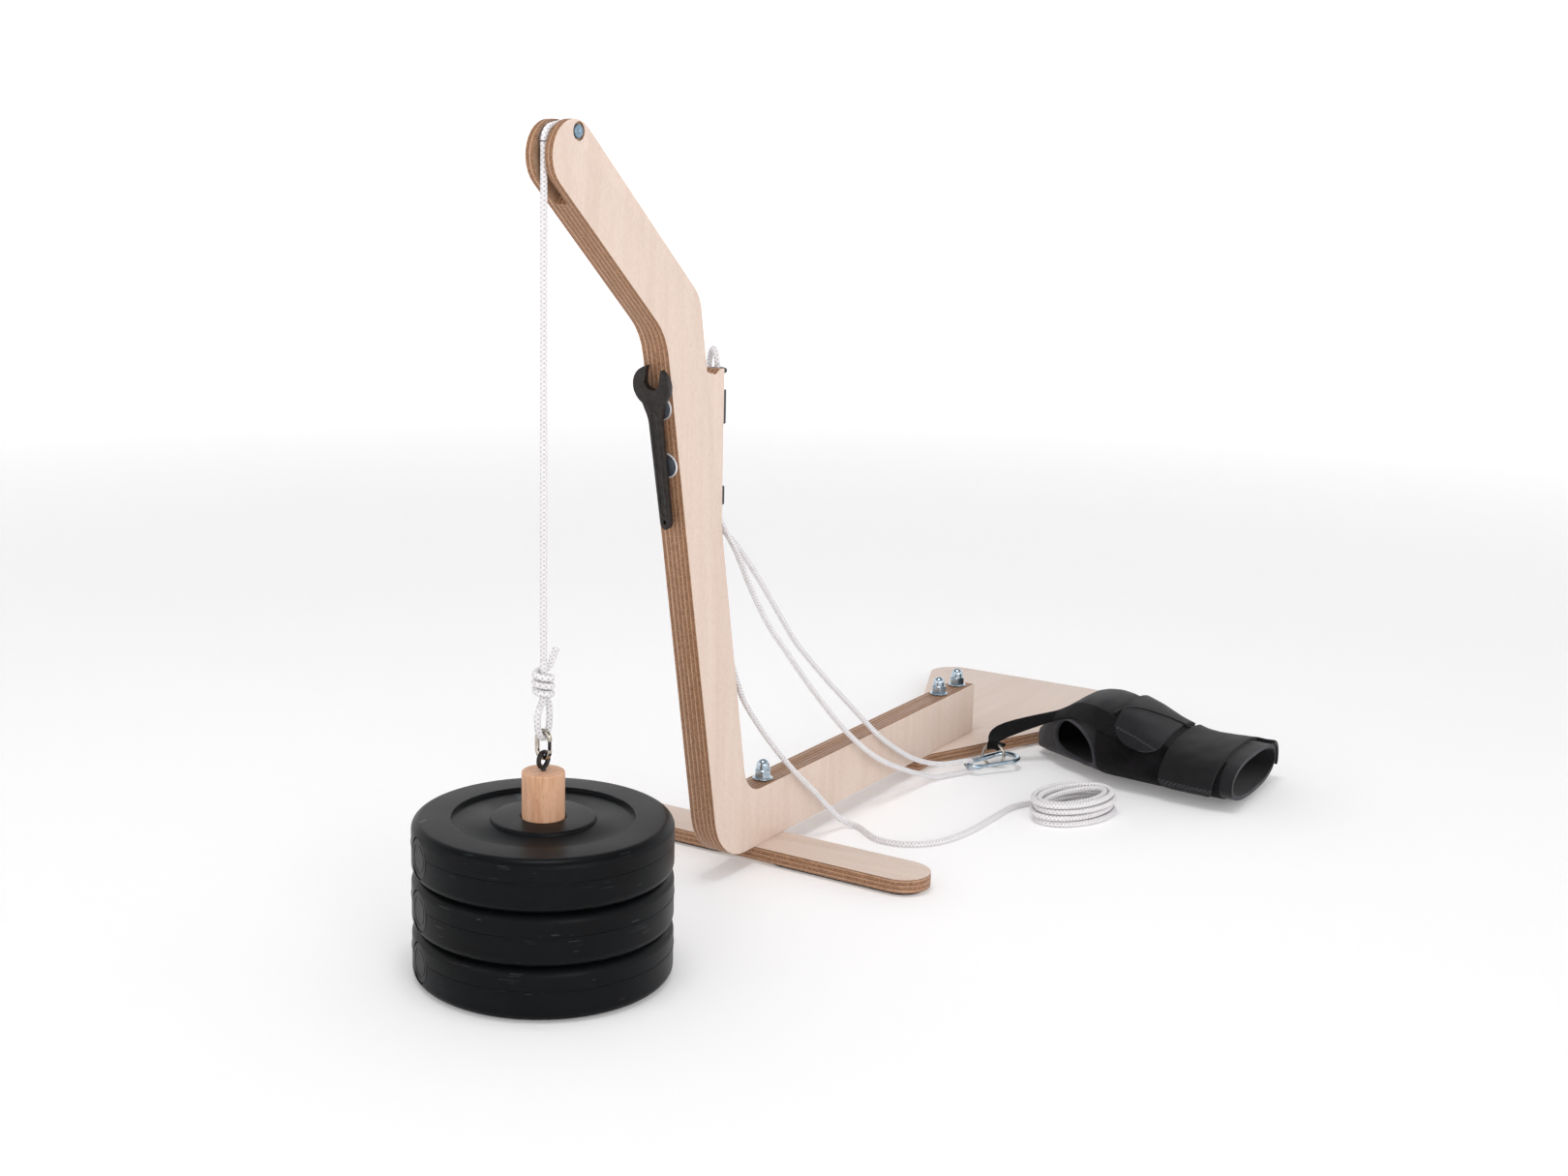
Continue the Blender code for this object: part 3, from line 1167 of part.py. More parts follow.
def cuff_section(y):
    """Centre x, half width and top of the cuff at a station along the leg."""
    rows = CUFF_STATIONS
    y = max(rows[-1][0], min(rows[0][0], y))
    i = next(k for k in range(len(rows) - 1) if y >= rows[k + 1][0])
    before = rows[max(i - 1, 0)]
    a, b = rows[i], rows[i + 1]
    after = rows[min(i + 2, len(rows) - 1)]
    span = b[0] - a[0]
    t = (y - a[0]) / span
    result = []
    for k in (1, 2, 3):
        slope_a = (b[k] - before[k]) / (b[0] - before[0]) * span
        slope_b = (after[k] - a[k]) / (after[0] - a[0]) * span
        result.append(a[k] * (2 * t ** 3 - 3 * t ** 2 + 1) + slope_a * (t ** 3 - 2 * t ** 2 + t)
                      + b[k] * (3 * t ** 2 - 2 * t ** 3) + slope_b * (t ** 3 - t ** 2))
    return tuple(result)


def cuff_point(y, around, lift):
    """Point on the cuff's outside, lifted off it; around is 0 at +X and 90 degrees on top."""
    centre, half, top = cuff_section(y)
    middle = (top + CUFF_LIFT) / 2
    c, s = math.cos(around), math.sin(around)
    power = 0.82
    x = centre + (half + lift) * math.copysign(abs(c) ** power, c)
    z = middle + ((top - CUFF_LIFT) / 2 + lift) * math.copysign(abs(s) ** power, s)
    return (x, y, z)


def shell(name, rows, thickness, skin, closed_around, flip=False):
    """Shell from rows of points on an outer surface, thickened inwards."""
    mesh = bpy.data.meshes.new(name)
    work = bmesh.new()
    grid = [[work.verts.new(Vector(p) * MM) for p in row] for row in rows]
    width = len(grid[0])
    for a, b in zip(grid, grid[1:]):
        for k in range(width if closed_around else width - 1):
            n = (k + 1) % width
            corners = (a[k], a[n], b[n], b[k])
            work.faces.new(corners[::-1] if flip else corners)
    work.to_mesh(mesh)
    work.free()
    obj = add(name, mesh, skin)
    thick = obj.modifiers.new("wall", "SOLIDIFY")
    thick.thickness = thickness * MM
    thick.offset = -1.0
    thick.use_even_offset = True
    return obj


def around_rows(y0, y1, count, lift, start=0.0, sweep=2 * math.pi, sides=CUFF_SIDES):
    """Rows of points round the cuff between two stations."""
    closed = sweep >= 2 * math.pi - 1e-6
    rows = []
    for i in range(count + 1):
        y = y0 + (y1 - y0) * i / count
        steps = sides if closed else sides + 1
        rows.append([cuff_point(y, start + sweep * k / sides, lift) for k in range(steps)])
    return rows


def ring_strap():
    """Strap from under the instep strap over the cuff to its fold round the link ring."""
    axis = Vector((-math.sin(RING_TURN), math.cos(RING_TURN), 0.0))
    out = Vector((math.cos(RING_TURN), math.sin(RING_TURN), 0.0))
    ring_top = Vector(RING_AT) + Vector((0, 0, RING_R))
    fold_r = RING_WIRE_R + FOLD_SLACK + RING_STRAP_T
    marks = (-0.5, -0.25, 0.0, 0.25, 0.5)

    def crumpled(centre, width, sag):
        row = []
        for mark in marks:
            t = mark * width
            drop = sag * (RING_R - math.sqrt(RING_R ** 2 - min(abs(t), RING_R * 0.9) ** 2))
            row.append(tuple(centre + axis * t - Vector((0, 0, drop))))
        return row

    up = Vector((0, 0, 1))
    rows = [crumpled(ring_top + out * FOLD_END_REACH + up * (1.6 - fold_r), RING_STRAP_W * 0.8, 0.2),
            crumpled(ring_top + out * FOLD_UNDER_REACH - up * fold_r, RING_STRAP_FOLD_W, 1.0)]
    for k in range(7):
        angle = math.radians(-90.0 - 30.0 * k)
        centre = ring_top + out * (fold_r * math.cos(angle)) + up * (fold_r * math.sin(angle))
        rows.append(crumpled(centre, RING_STRAP_FOLD_W, 1.0))
    rows.append(crumpled(ring_top + out * FOLD_OVER_REACH + up * (fold_r + 2.0), RING_STRAP_W * 0.75, 0.4))
    centre = ring_top + out * FOLD_EXIT_REACH + Vector((*FOLD_EXIT_SHIFT, fold_r + FOLD_EXIT_RISE))
    across = Vector((-6.0, 20.0, 9.0)).normalized() * RING_STRAP_W
    rows.append([tuple(centre + across * mark) for mark in marks])
    lift = STRAP_LIFT + RING_STRAP_T
    spread = RING_STRAP_W / RING_STRAP_GIRTH
    for y, turn, _ in smooth([(*mark, 0.0) for mark in RING_STRAP_ROUTE], RING_STRAP_STEP):
        rows.append([cuff_point(y, math.radians(turn) - spread * mark, lift) for mark in marks])
    shell("ring_strap", rows, RING_STRAP_T, webbing(), False, flip=True)


def cuff():
    """Neoprene ankle cuff lying on its side, with its straps."""
    first, last = CUFF_STATIONS[0][0], CUFF_STATIONS[-1][0]
    body = shell("cuff_body", around_rows(first, last, CUFF_ROWS, 0.0), CUFF_WALL, neoprene(), True)
    hole = turned("foot_hole_cut", [(0.0, 45.0), (1.0, 45.0), (1.0, -45.0), (0.0, -45.0)], steps=28)
    hole.scale = (FOOT_HOLE_TOP, FOOT_HOLE_HALF, 1.0)
    hole.rotation_euler = (0.0, -math.pi / 2, FOOT_HOLE_TURN - math.pi / 2)
    hole.location = Vector((*FOOT_HOLE_AT, 0.0)) * MM
    cut(body, hole)
    outer = STRAP_LIFT + STRAP_T
    rows = around_rows(*CALF_STRAP_Y, 3, outer)
    slanted = []
    for row in rows:
        slanted.append([(x, y - CALF_STRAP_SLANT * (z / 50.0 - 0.5), z) for x, y, z in row])
    shell("calf_strap", slanted, STRAP_T, webbing(), True)
    start, end = INSTEP_AROUND
    lift = STRAP_LIFT + RING_STRAP_T + STRAP_T + GAP
    shell("instep_strap", around_rows(*INSTEP_Y, 4, lift, start, end - start, 12), STRAP_T, webbing(), False)
    ring_strap()


def main():
    """Clear the scene and build every piece."""
    for obj in list(bpy.data.objects):
        bpy.data.objects.remove(obj)
    side_panel()
    front_foot()
    rear_foot()
    for name, x in zip(("front", "rear_inner", "rear_outer"), (FRONT_BOLT_X, *REAR_BOLT_XS)):
        frame_bolt("frame_bolt_" + name, x)
        cap_nut("cap_nut_" + name, x)
    roller()
    cross_bolt()
    magnets()
    spanner()
    cleat()
    guides()
    for index in range(PLATE_COUNT):
        weight_plate(index)
    stack_core()
    screw_eye()
    snap_ring()
    knot()
    cords()
    carabiner()
    link_ring()
    cuff()
    bpy.context.view_layer.update()


main()
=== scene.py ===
"""Dresses the joint distraction trainer: plywood gallows, cord, weight stack and ankle cuff.

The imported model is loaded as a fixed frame. Each class holds one sub-assembly: its sizes,
its meshes and its finishes. Sizes are millimetres in the model's frame; the helpers turn
them into metres.
"""

import logging
import math
from dataclasses import dataclass
from enum import Enum
from functools import partial
from typing import Callable, Optional, Sequence, Union

import bmesh
import bpy
from mathutils import Matrix, Vector, noise


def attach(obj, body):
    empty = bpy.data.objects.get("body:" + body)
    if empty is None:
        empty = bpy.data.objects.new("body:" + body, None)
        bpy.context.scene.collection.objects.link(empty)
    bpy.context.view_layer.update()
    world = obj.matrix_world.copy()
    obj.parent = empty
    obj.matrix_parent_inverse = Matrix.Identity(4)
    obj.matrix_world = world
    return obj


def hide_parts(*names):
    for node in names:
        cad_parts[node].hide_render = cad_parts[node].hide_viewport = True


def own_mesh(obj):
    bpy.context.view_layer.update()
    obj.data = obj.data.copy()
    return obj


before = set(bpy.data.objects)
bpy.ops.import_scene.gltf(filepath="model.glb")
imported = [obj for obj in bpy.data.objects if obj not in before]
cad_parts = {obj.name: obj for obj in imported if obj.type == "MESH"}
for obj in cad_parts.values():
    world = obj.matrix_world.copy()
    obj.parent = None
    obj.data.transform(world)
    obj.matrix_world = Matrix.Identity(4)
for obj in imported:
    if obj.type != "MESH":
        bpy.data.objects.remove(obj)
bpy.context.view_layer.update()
LOG = logging.getLogger("trainer")
MM = 0.001

# Settings of a Mix node that mixes colours
COLOURS = {"out": 2, "data_type": "RGBA"}

Object = bpy.types.Object
Socket = bpy.types.NodeSocket
Point2 = tuple[float, float]
Point3 = tuple[float, float, float]


class Body(Enum):
    """Bodies of the record that pieces ride on."""

    FRAME = "frame"
    ROLLER = "roller_wheel"
    STACK = "stack"
    SNAP_GATE = "snap_gate_arm"
    CARABINER_GATE = "carabiner_gate_arm"
    SPANNER = "spanner_tool"


class Across(Enum):
    """Axis that runs through a board's plies."""

    Y = 1
    Z = 2


class Weave(Enum):
    """Cloths of the cuff."""

    JERSEY = "jersey"
    PILE = "pile"
    STRAP = "strap"


def linear(code: str) -> tuple[float, float, float, float]:
    """Turn an sRGB hex value into a linear colour.

    Args:
        code: six hex digits, such as "e2cebf".

    Returns:
        Linear red, green and blue, with an alpha of 1.
    """
    values = [int(code[i:i + 2], 16) / 255 for i in (0, 2, 4)]
    mixed = [v / 12.92 if v <= 0.04045 else ((v + 0.055) / 1.055) ** 2.4 for v in values]
    return (mixed[0], mixed[1], mixed[2], 1.0)


def add_node(tree: bpy.types.NodeTree, kind: str, inputs: Optional[dict] = None, out: Union[int, str] = 0,
             stops: Sequence[tuple[float, str]] = (), **settings) -> Socket:
    """Add one node with its settings, links and values.

    Args:
        tree: node tree that takes the node.
        kind: the node's type without the ShaderNode prefix.
        inputs: input name or index to a socket, a hex colour or a plain value.
        out: name or index of the output that is returned.
        stops: positions and hex colours, where the node is a colour ramp.
        settings: attributes of the node.

    Returns:
        The chosen output socket.
    """
    node = tree.nodes.new("ShaderNode" + kind)
    for name, value in settings.items():
        setattr(node, name, value)
    for key, value in (inputs or {}).items():
        if isinstance(value, Socket):
            tree.links.new(value, node.inputs[key])
        else:
            node.inputs[key].default_value = linear(value) if isinstance(value, str) else value
    for index, (position, code) in enumerate(stops):
        if index >= len(node.color_ramp.elements):
            node.color_ramp.elements.new(position)
        node.color_ramp.elements[index].position = position
        node.color_ramp.elements[index].color = linear(code)
    return node.outputs[out]


@dataclass(frozen=True)
class Finish:
    """A surface finish that becomes one material.

    Attributes:
        name: the material's name.
        slot: material slot of the record.
        colour: base colour as sRGB hex.
        roughness: roughness of the shader.
        metallic: 1 for bare metal.
        sheen: sheen weight, for cloth.
        ior: index of refraction; low where the surface scatters and hardly mirrors.
        relief_mm: height of the surface pattern.
        relief: strength of that pattern.
    """

    name: str
    slot: str
    colour: str
    roughness: float = 0.5
    metallic: float = 0.0
    sheen: float = 0.0
    ior: float = 1.5
    relief_mm: float = 0.05
    relief: float = 0.3

    def pattern(self, node: Callable[..., Socket]) -> dict[str, Socket]:
        """Sockets of the shader's inputs, and of Height, that the finish's pattern feeds."""
        return {}

    def gloss(self, node: Callable[..., Socket], drift: Socket, spread: float = 0.14) -> Socket:
        """Roughness that drifts about its value with a slow noise."""
        return node("Math", {0: drift, 1: spread, 2: self.roughness - spread / 2}, operation="MULTIPLY_ADD")

    def material(self) -> bpy.types.Material:
        """Return the material, built on first use."""
        made = bpy.data.materials.get(self.name)
        if made is not None:
            return made
        made = bpy.data.materials.new(self.name)
        made.use_nodes = True
        made.diffuse_color = linear(self.colour)
        tree = made.node_tree
        shader = tree.nodes["Principled BSDF"].inputs
        shader["Base Color"].default_value = linear(self.colour)
        shader["Roughness"].default_value = self.roughness
        shader["Metallic"].default_value = self.metallic
        shader["Sheen Weight"].default_value = self.sheen
        shader["IOR"].default_value = self.ior
        for name, socket in self.pattern(partial(add_node, tree)).items():
            if name == "Height":
                socket = add_node(tree, "Bump", {"Height": socket, "Strength": self.relief,
                                                 "Distance": self.relief_mm * MM})
                name = "Normal"
            tree.links.new(socket, shader[name])
        return made


@dataclass(frozen=True)
class BirchPly(Finish):
    """Birch plywood, sanded and bare: pale rotary-cut faces and brown striped edges.

    Attributes:
        across: axis through the plies.
        middle_mm: place of the board's middle on that axis.
        half_mm: half its thickness; what lies deeper is a cut, whatever way it faces.
        grain: repeats of the face figure per metre on x, y and z.
        ply_mm: thickness of one ply.
    """

    across: Across = Across.Y
    middle_mm: float = 0.0
    half_mm: float = 12.0
    grain: Point3 = (44.0, 44.0, 4.5)
    ply_mm: float = 2.0

    def pattern(self, node: Callable[..., Socket]) -> dict[str, Socket]:
        """Figure on the faces; plies, glue lines and vessels on the edges."""
        spot = node("TexCoord", out="Object")
        axis = self.across.value
        facing = node("SeparateXYZ", {0: node("TexCoord", out="Normal")}, out=axis)
        place = node("SeparateXYZ", {0: spot}, out=axis)
        ends = node("Math", {0: node("Math", {0: facing}, operation="ABSOLUTE"), 1: 0.6}, operation="LESS_THAN")
        off = node("Math", {0: place, 1: self.middle_mm * MM}, operation="SUBTRACT")
        inner = node("Math", {0: node("Math", {0: off}, operation="ABSOLUTE"), 1: (self.half_mm - 1.4) * MM},
                     operation="LESS_THAN")
        side = node("Math", {0: ends, 1: inner}, operation="MAXIMUM")
        # Birch plies are 1.4 mm thick, drawn at 2 mm so that they show, and wander by a third of a ply
        wander = node("TexNoise", {"Vector": spot, "Scale": 9.0, "Detail": 2.0})
        depth = node("Math", {0: place, 1: 1.0 / (self.ply_mm * MM), 2: -self.middle_mm / self.ply_mm},
                     operation="MULTIPLY_ADD")
        depth = node("Math", {0: wander, 1: 0.7, 2: depth}, operation="MULTIPLY_ADD")
        pair = node("Math", {0: depth, 1: 0.5, 2: 40.0}, operation="MULTIPLY_ADD")
        within = node("Math", {0: pair}, operation="FRACT")
        # One ply of each pair shows its long grain as a thin cream line, some fainter than others
        chance = node("TexWhiteNoise", {"W": node("Math", {0: pair}, operation="FLOOR")}, noise_dimensions="1D")
        light = node("Math", {0: within, 1: 0.34}, operation="LESS_THAN")
        light = node("Math", {0: light, 1: node("Math", {0: chance, 1: 0.6, 2: 0.4}, operation="MULTIPLY_ADD")},
                     operation="MULTIPLY")
        light = node("Math", {0: light, 1: node("Math", {0: 1.0, 1: ends}, operation="SUBTRACT")},
                     operation="MAXIMUM")
        glue = node("Math", {0: within, 1: 0.4, 2: 0.06}, operation="COMPARE")
        through, along = [k == axis for k in range(3)], [g < 10.0 for g in self.grain]
        # Scale, detail, roughness and distortion; the pores are 0.1 mm wide, drawn at 1 to 2 mm so that they show
        looks = (
            (tuple(620.0 if t else 42.0 for t in through), 4.0, 0.6, 0.0),
            (tuple(620.0 if t else 1100.0 for t in through), 2.0, 0.6, 0.0),
            (tuple(760.0 if t else 150.0 if a else 800.0 for t, a in zip(through, along)), 1.0, 0.5, 0.0),
            (self.grain, 4.0, 0.55, 1.4),
            (tuple(260.0 + 8 * g for g in self.grain), 3.0, 0.65, 0.0),
        )
        streak, vessel, dash, figure, pores = (
            node("TexNoise", {"Vector": node("Mapping", {0: spot, "Scale": scale}), "Scale": 1.0, "Detail": detail,
                              "Roughness": rough, "Distortion": bend})
            for scale, detail, rough, bend in looks)
        pale = node("ValToRGB", {0: streak}, stops=((0.3, "b98e6c"), (0.55, "cda888"), (0.8, "e0c4a8")))
        dark = node("ValToRGB", {0: vessel}, stops=((0.3, "6b472d"), (0.5, "946848"), (0.72, "b08463")))
        edge = node("Mix", {0: light, 6: dark, 7: pale}, **COLOURS)
        glue = node("Math", {0: glue, 1: 0.5}, operation="MULTIPLY")
        edge = node("Mix", {0: glue, 6: edge, 7: "4a3226"}, **COLOURS)
        # Vessels cut along the grain show as short dark dashes
        dash = node("ValToRGB", {0: dash}, stops=((0.56, "000000"), (0.66, "909090")))
        edge = node("Mix", {0: dash, 6: edge, 7: "3b281e"}, **COLOURS)
        face = node("ValToRGB", {0: figure}, stops=((0.25, "dcc6b5"), (0.5, self.colour), (0.76, "e6d3c5")))
        specks = node("ValToRGB", {0: pores}, stops=((0.42, "000000"), (0.66, "707070")))
        face = node("Mix", {0: specks, 6: face, 7: "b8987f"}, **COLOURS)
        colour = node("Mix", {0: side, 6: face, 7: edge}, **COLOURS)
        height = node("Mix", {0: side, 2: pores, 3: vessel}, data_type="FLOAT")
        return {"Base Color": colour, "Height": height}


@dataclass(frozen=True)
class Beech(Finish):
    """Turned beech: pinkish brown, with short dark rays and faint rings on its end.

    Attributes:
        centre_mm: the dowel's axis, on x.
    """

    centre_mm: float = 0.0

    def pattern(self, node: Callable[..., Socket]) -> dict[str, Socket]:
        """Rays along the dowel and rings across its end."""
        spot = node("Mapping", {0: node("TexCoord", out="Object"), "Location": (-self.centre_mm * MM, 0.0, 0.0)})
        streak = node("TexNoise", {"Vector": node("Mapping", {0: spot, "Scale": (240.0, 240.0, 24.0)}),
                                   "Scale": 1.0, "Detail": 4.0, "Roughness": 0.6})
        # Beech rays are 2 to 4 mm long and half a millimetre wide
        rays = node("TexNoise", {"Vector": node("Mapping", {0: spot, "Scale": (900.0, 900.0, 170.0)}),
                                 "Scale": 1.0, "Detail": 2.0, "Roughness": 0.6})
        rings = node("TexWave", {"Vector": spot, "Scale": 120.0, "Distortion": 2.0, "Detail": 2.0},
                     out="Fac", wave_type="RINGS", rings_direction="Z")
        wood = node("ValToRGB", {0: streak}, stops=((0.3, "c98f69"), (0.52, self.colour), (0.75, "e3b696")))
        rings = node("Math", {0: rings, 1: 0.25}, operation="MULTIPLY")
        wood = node("Mix", {0: rings, 6: wood, 7: "be9374"}, **COLOURS)
        spots = node("ValToRGB", {0: rays}, stops=((0.57, "000000"), (0.68, "909090")))
        wood = node("Mix", {0: spots, 6: wood, 7: "8f6045"}, **COLOURS)
        return {"Base Color": wood, "Height": rays}


@dataclass(frozen=True)
class Vinyl(Finish):
    """Blow-moulded vinyl shell: satin black with faint mould grain and a few scuffs."""

    def pattern(self, node: Callable[..., Socket]) -> dict[str, Socket]:
        """Mould grain, cloudy gloss and thin scuffs."""
        spot = node("TexCoord", out="Object")
        grain = node("TexNoise", {"Vector": spot, "Scale": 380.0, "Detail": 3.0, "Roughness": 0.6})
        cloud = node("TexNoise", {"Vector": spot, "Scale": 16.0, "Detail": 3.0, "Roughness": 0.6})
        # Scratches are hairlines, drawn half a millimetre wide so that they show
        tilted = node("Mapping", {0: spot, "Rotation": (0.12, 0.2, 0.0), "Scale": (30.0, 30.0, 1500.0)})
        lines = node("TexNoise", {"Vector": tilted, "Scale": 1.0, "Detail": 1.0})
        thin = node("Math", {0: lines, 1: 0.69}, operation="GREATER_THAN")
        rare = node("Math", {0: node("TexNoise", {"Vector": spot, "Scale": 40.0, "Detail": 1.0}), 1: 0.6},
                    operation="GREATER_THAN")
        scuff = node("Math", {0: thin, 1: node("Math", {0: rare, 1: 0.4}, operation="MULTIPLY")},
                     operation="MULTIPLY")
        base = node("ValToRGB", {0: cloud}, stops=((0.3, "08090a"), (0.7, self.colour)))
        colour = node("Mix", {0: scuff, 6: base, 7: "565b5f"}, **COLOURS)
        return {"Base Color": colour, "Roughness": self.gloss(node, cloud, 0.16), "Height": grain}


@dataclass(frozen=True)
class Metal(Finish):
    """Plated or blackened steel whose tint and gloss drift a little.

    Attributes:
        tint: second colour that the plating drifts to.
        patch_mm: size of the drifts.
    """

    tint: str = "9fb4c4"
    patch_mm: float = 5.0

    def pattern(self, node: Callable[..., Socket]) -> dict[str, Socket]:
        """Drift between two tints, roughness that follows it, and fine grit."""
        spot = node("TexCoord", out="Object")
        drift = node("TexNoise", {"Vector": spot, "Scale": 1000.0 / self.patch_mm, "Detail": 3.0,
                                  "Roughness": 0.6})
        fine = node("TexNoise", {"Vector": spot, "Scale": 2200.0, "Detail": 2.0})
        colour = node("ValToRGB", {0: drift}, stops=((0.35, self.colour), (0.65, self.tint)))
        return {"Base Color": colour, "Roughness": self.gloss(node, drift), "Height": fine}


@dataclass(frozen=True)
class Moulded(Finish):
    """Moulded rubber or plastic with a fine eroded texture."""

    def pattern(self, node: Callable[..., Socket]) -> dict[str, Socket]:
        """Fine texture over a slow change of tone and gloss."""
        spot = node("TexCoord", out="Object")
        fine = node("TexNoise", {"Vector": spot, "Scale": 1300.0, "Detail": 2.0, "Roughness": 0.6})
        slow = node("TexNoise", {"Vector": spot, "Scale": 70.0, "Detail": 3.0})
        shade = node("ValToRGB", {0: slow}, stops=((0.3, "c8c8c8"), (0.7, "ffffff")))
        colour = node("Mix", {0: 1.0, 6: self.colour, 7: shade}, **COLOURS, blend_type="MULTIPLY")
        return {"Base Color": colour, "Roughness": self.gloss(node, slow), "Height": fine}


@dataclass(frozen=True)
class Braid(Finish):
    """Braided polyester cord whose strands cross in small diamonds, with a dot of painted shade at each crossing.

    Attributes:
        strands: diamonds round the cord.
        pitch_mm: length of a diamond along the cord; the real 1.6 mm is drawn coarser so that it shows.
    """

    strands: float = 3.0
    pitch_mm: float = 3.2

    def pattern(self, node: Callable[..., Socket]) -> dict[str, Socket]:
        """Two families of strands; U is metres along the cord and V turns round it."""
        flat = node("TexCoord", out="UV")
        along = node("Math", {0: node("SeparateXYZ", {0: flat}, out=0), 1: math.pi / (self.pitch_mm * MM)},
                     operation="MULTIPLY")
        around = node("Math", {0: node("SeparateXYZ", {0: flat}, out=1), 1: math.pi * self.strands},
                      operation="MULTIPLY")
        families = []
        for way in ("ADD", "SUBTRACT"):
            wave = node("Math", {0: node("Math", {0: along, 1: around}, operation=way)}, operation="SINE")
            families.append(node("Math", {0: wave}, operation="ABSOLUTE"))
        height = node("Math", {0: families[0], 1: families[1]}, operation="MINIMUM")
        # Painted shade: the colour darkens from the strand tops into the gaps where the strands cross
        gap_shade = node("Math", {0: families[0], 1: families[1]}, operation="MAXIMUM")
        colour = node("ValToRGB", {0: gap_shade}, stops=((0.2, "a89eaa"), (0.55, "e4e0e2"), (0.75, self.colour)))
        soil = node("TexNoise", {"Vector": node("TexCoord", out="Object"), "Scale": 80.0, "Detail": 3.0})
        soil = node("Math", {0: soil, 1: 0.16}, operation="MULTIPLY")
        colour = node("Mix", {0: soil, 6: colour, 7: "b5aeaa"}, **COLOURS)
        return {"Base Color": colour, "Height": height}


@dataclass(frozen=True)
class CuffCloth(Finish):
    """Black cloth of the cuff, with a sewn hem where its piece carries one.

    Attributes:
        weave: which cloth it is.
        thread_mm: spacing of its threads, drawn coarser than the real 0.3 mm so that it shows.
        hems_mm: distances of the seams from the edge.
        worn: colour where the cloth is rubbed.
    """

    weave: Weave = Weave.JERSEY
    thread_mm: float = 0.9
    hems_mm: tuple[float, ...] = ()
    worn: str = "1d1b1e"

    def pattern(self, node: Callable[..., Socket]) -> dict[str, Socket]:
        """Threads from the piece's UV in metres, lint, and seams from its hem attribute, each a groove darkened
        with painted shade, with pale stitches along it.
        """
        flat = node("TexCoord", out="UV")
        u = node("SeparateXYZ", {0: flat}, out=0)
        v = node("SeparateXYZ", {0: flat}, out=1)
        spot = node("TexCoord", out="Object")
        fuzz = node("TexNoise", {"Vector": spot, "Scale": 1200.0, "Detail": 2.0, "Roughness": 0.7})
        height = fuzz
        if self.weave is not Weave.PILE:
            step = math.pi / (self.thread_mm * MM)
            warp = node("Math", {0: node("Math", {0: u, 1: step}, operation="MULTIPLY")}, operation="SINE")
            ratio = 1.0 if self.weave is Weave.STRAP else 0.6
            weft = node("Math", {0: node("Math", {0: v, 1: step * ratio}, operation="MULTIPLY")}, operation="SINE")
            threads = node("Math", {0: warp, 1: weft}, operation="MULTIPLY")
            height = node("Math", {0: threads, 1: 0.4, 2: fuzz}, operation="MULTIPLY_ADD")
        wear = node("TexNoise", {"Vector": spot, "Scale": 24.0, "Detail": 4.0, "Roughness": 0.6})
        colour = node("ValToRGB", {0: wear}, stops=((0.35, self.colour), (0.8, self.worn)))
        lint = node("Math", {0: fuzz, 1: 0.64}, operation="GREATER_THAN")
        lint = node("Math", {0: lint, 1: 0.25}, operation="MULTIPLY")
        colour = node("Mix", {0: lint, 6: colour, 7: "4f4c51"}, **COLOURS)
        run = node("Math", {0: node("Math", {0: u, 1: v}, operation="ADD"), 1: 0.0042}, operation="DIVIDE")
        stitch = node("Math", {0: node("Math", {0: run}, operation="FRACT"), 1: 0.35}, operation="GREATER_THAN")
        for hem in self.hems_mm:
            edge = node("Attribute", out="Fac", attribute_name="hem")
            off = node("Math", {0: node("Math", {0: edge, 1: hem * MM}, operation="SUBTRACT")},
                       operation="ABSOLUTE")
            band = node("Math", {0: off, 1: 0.001}, operation="LESS_THAN")
            thread = node("Math", {0: band, 1: stitch}, operation="MULTIPLY")
            # Painted shade darkens the seam's groove; the stitches along it are pale thread
            for mask, share, tone in ((band, 0.85, "070708"), (thread, 0.6, "46454b")):
                mask = node("Math", {0: mask, 1: share}, operation="MULTIPLY")
                colour = node("Mix", {0: mask, 6: colour, 7: tone}, **COLOURS)
            height = node("Math", {0: band, 1: -3.0, 2: height}, operation="MULTIPLY_ADD")
        return {"Base Color": colour, "Height": height}


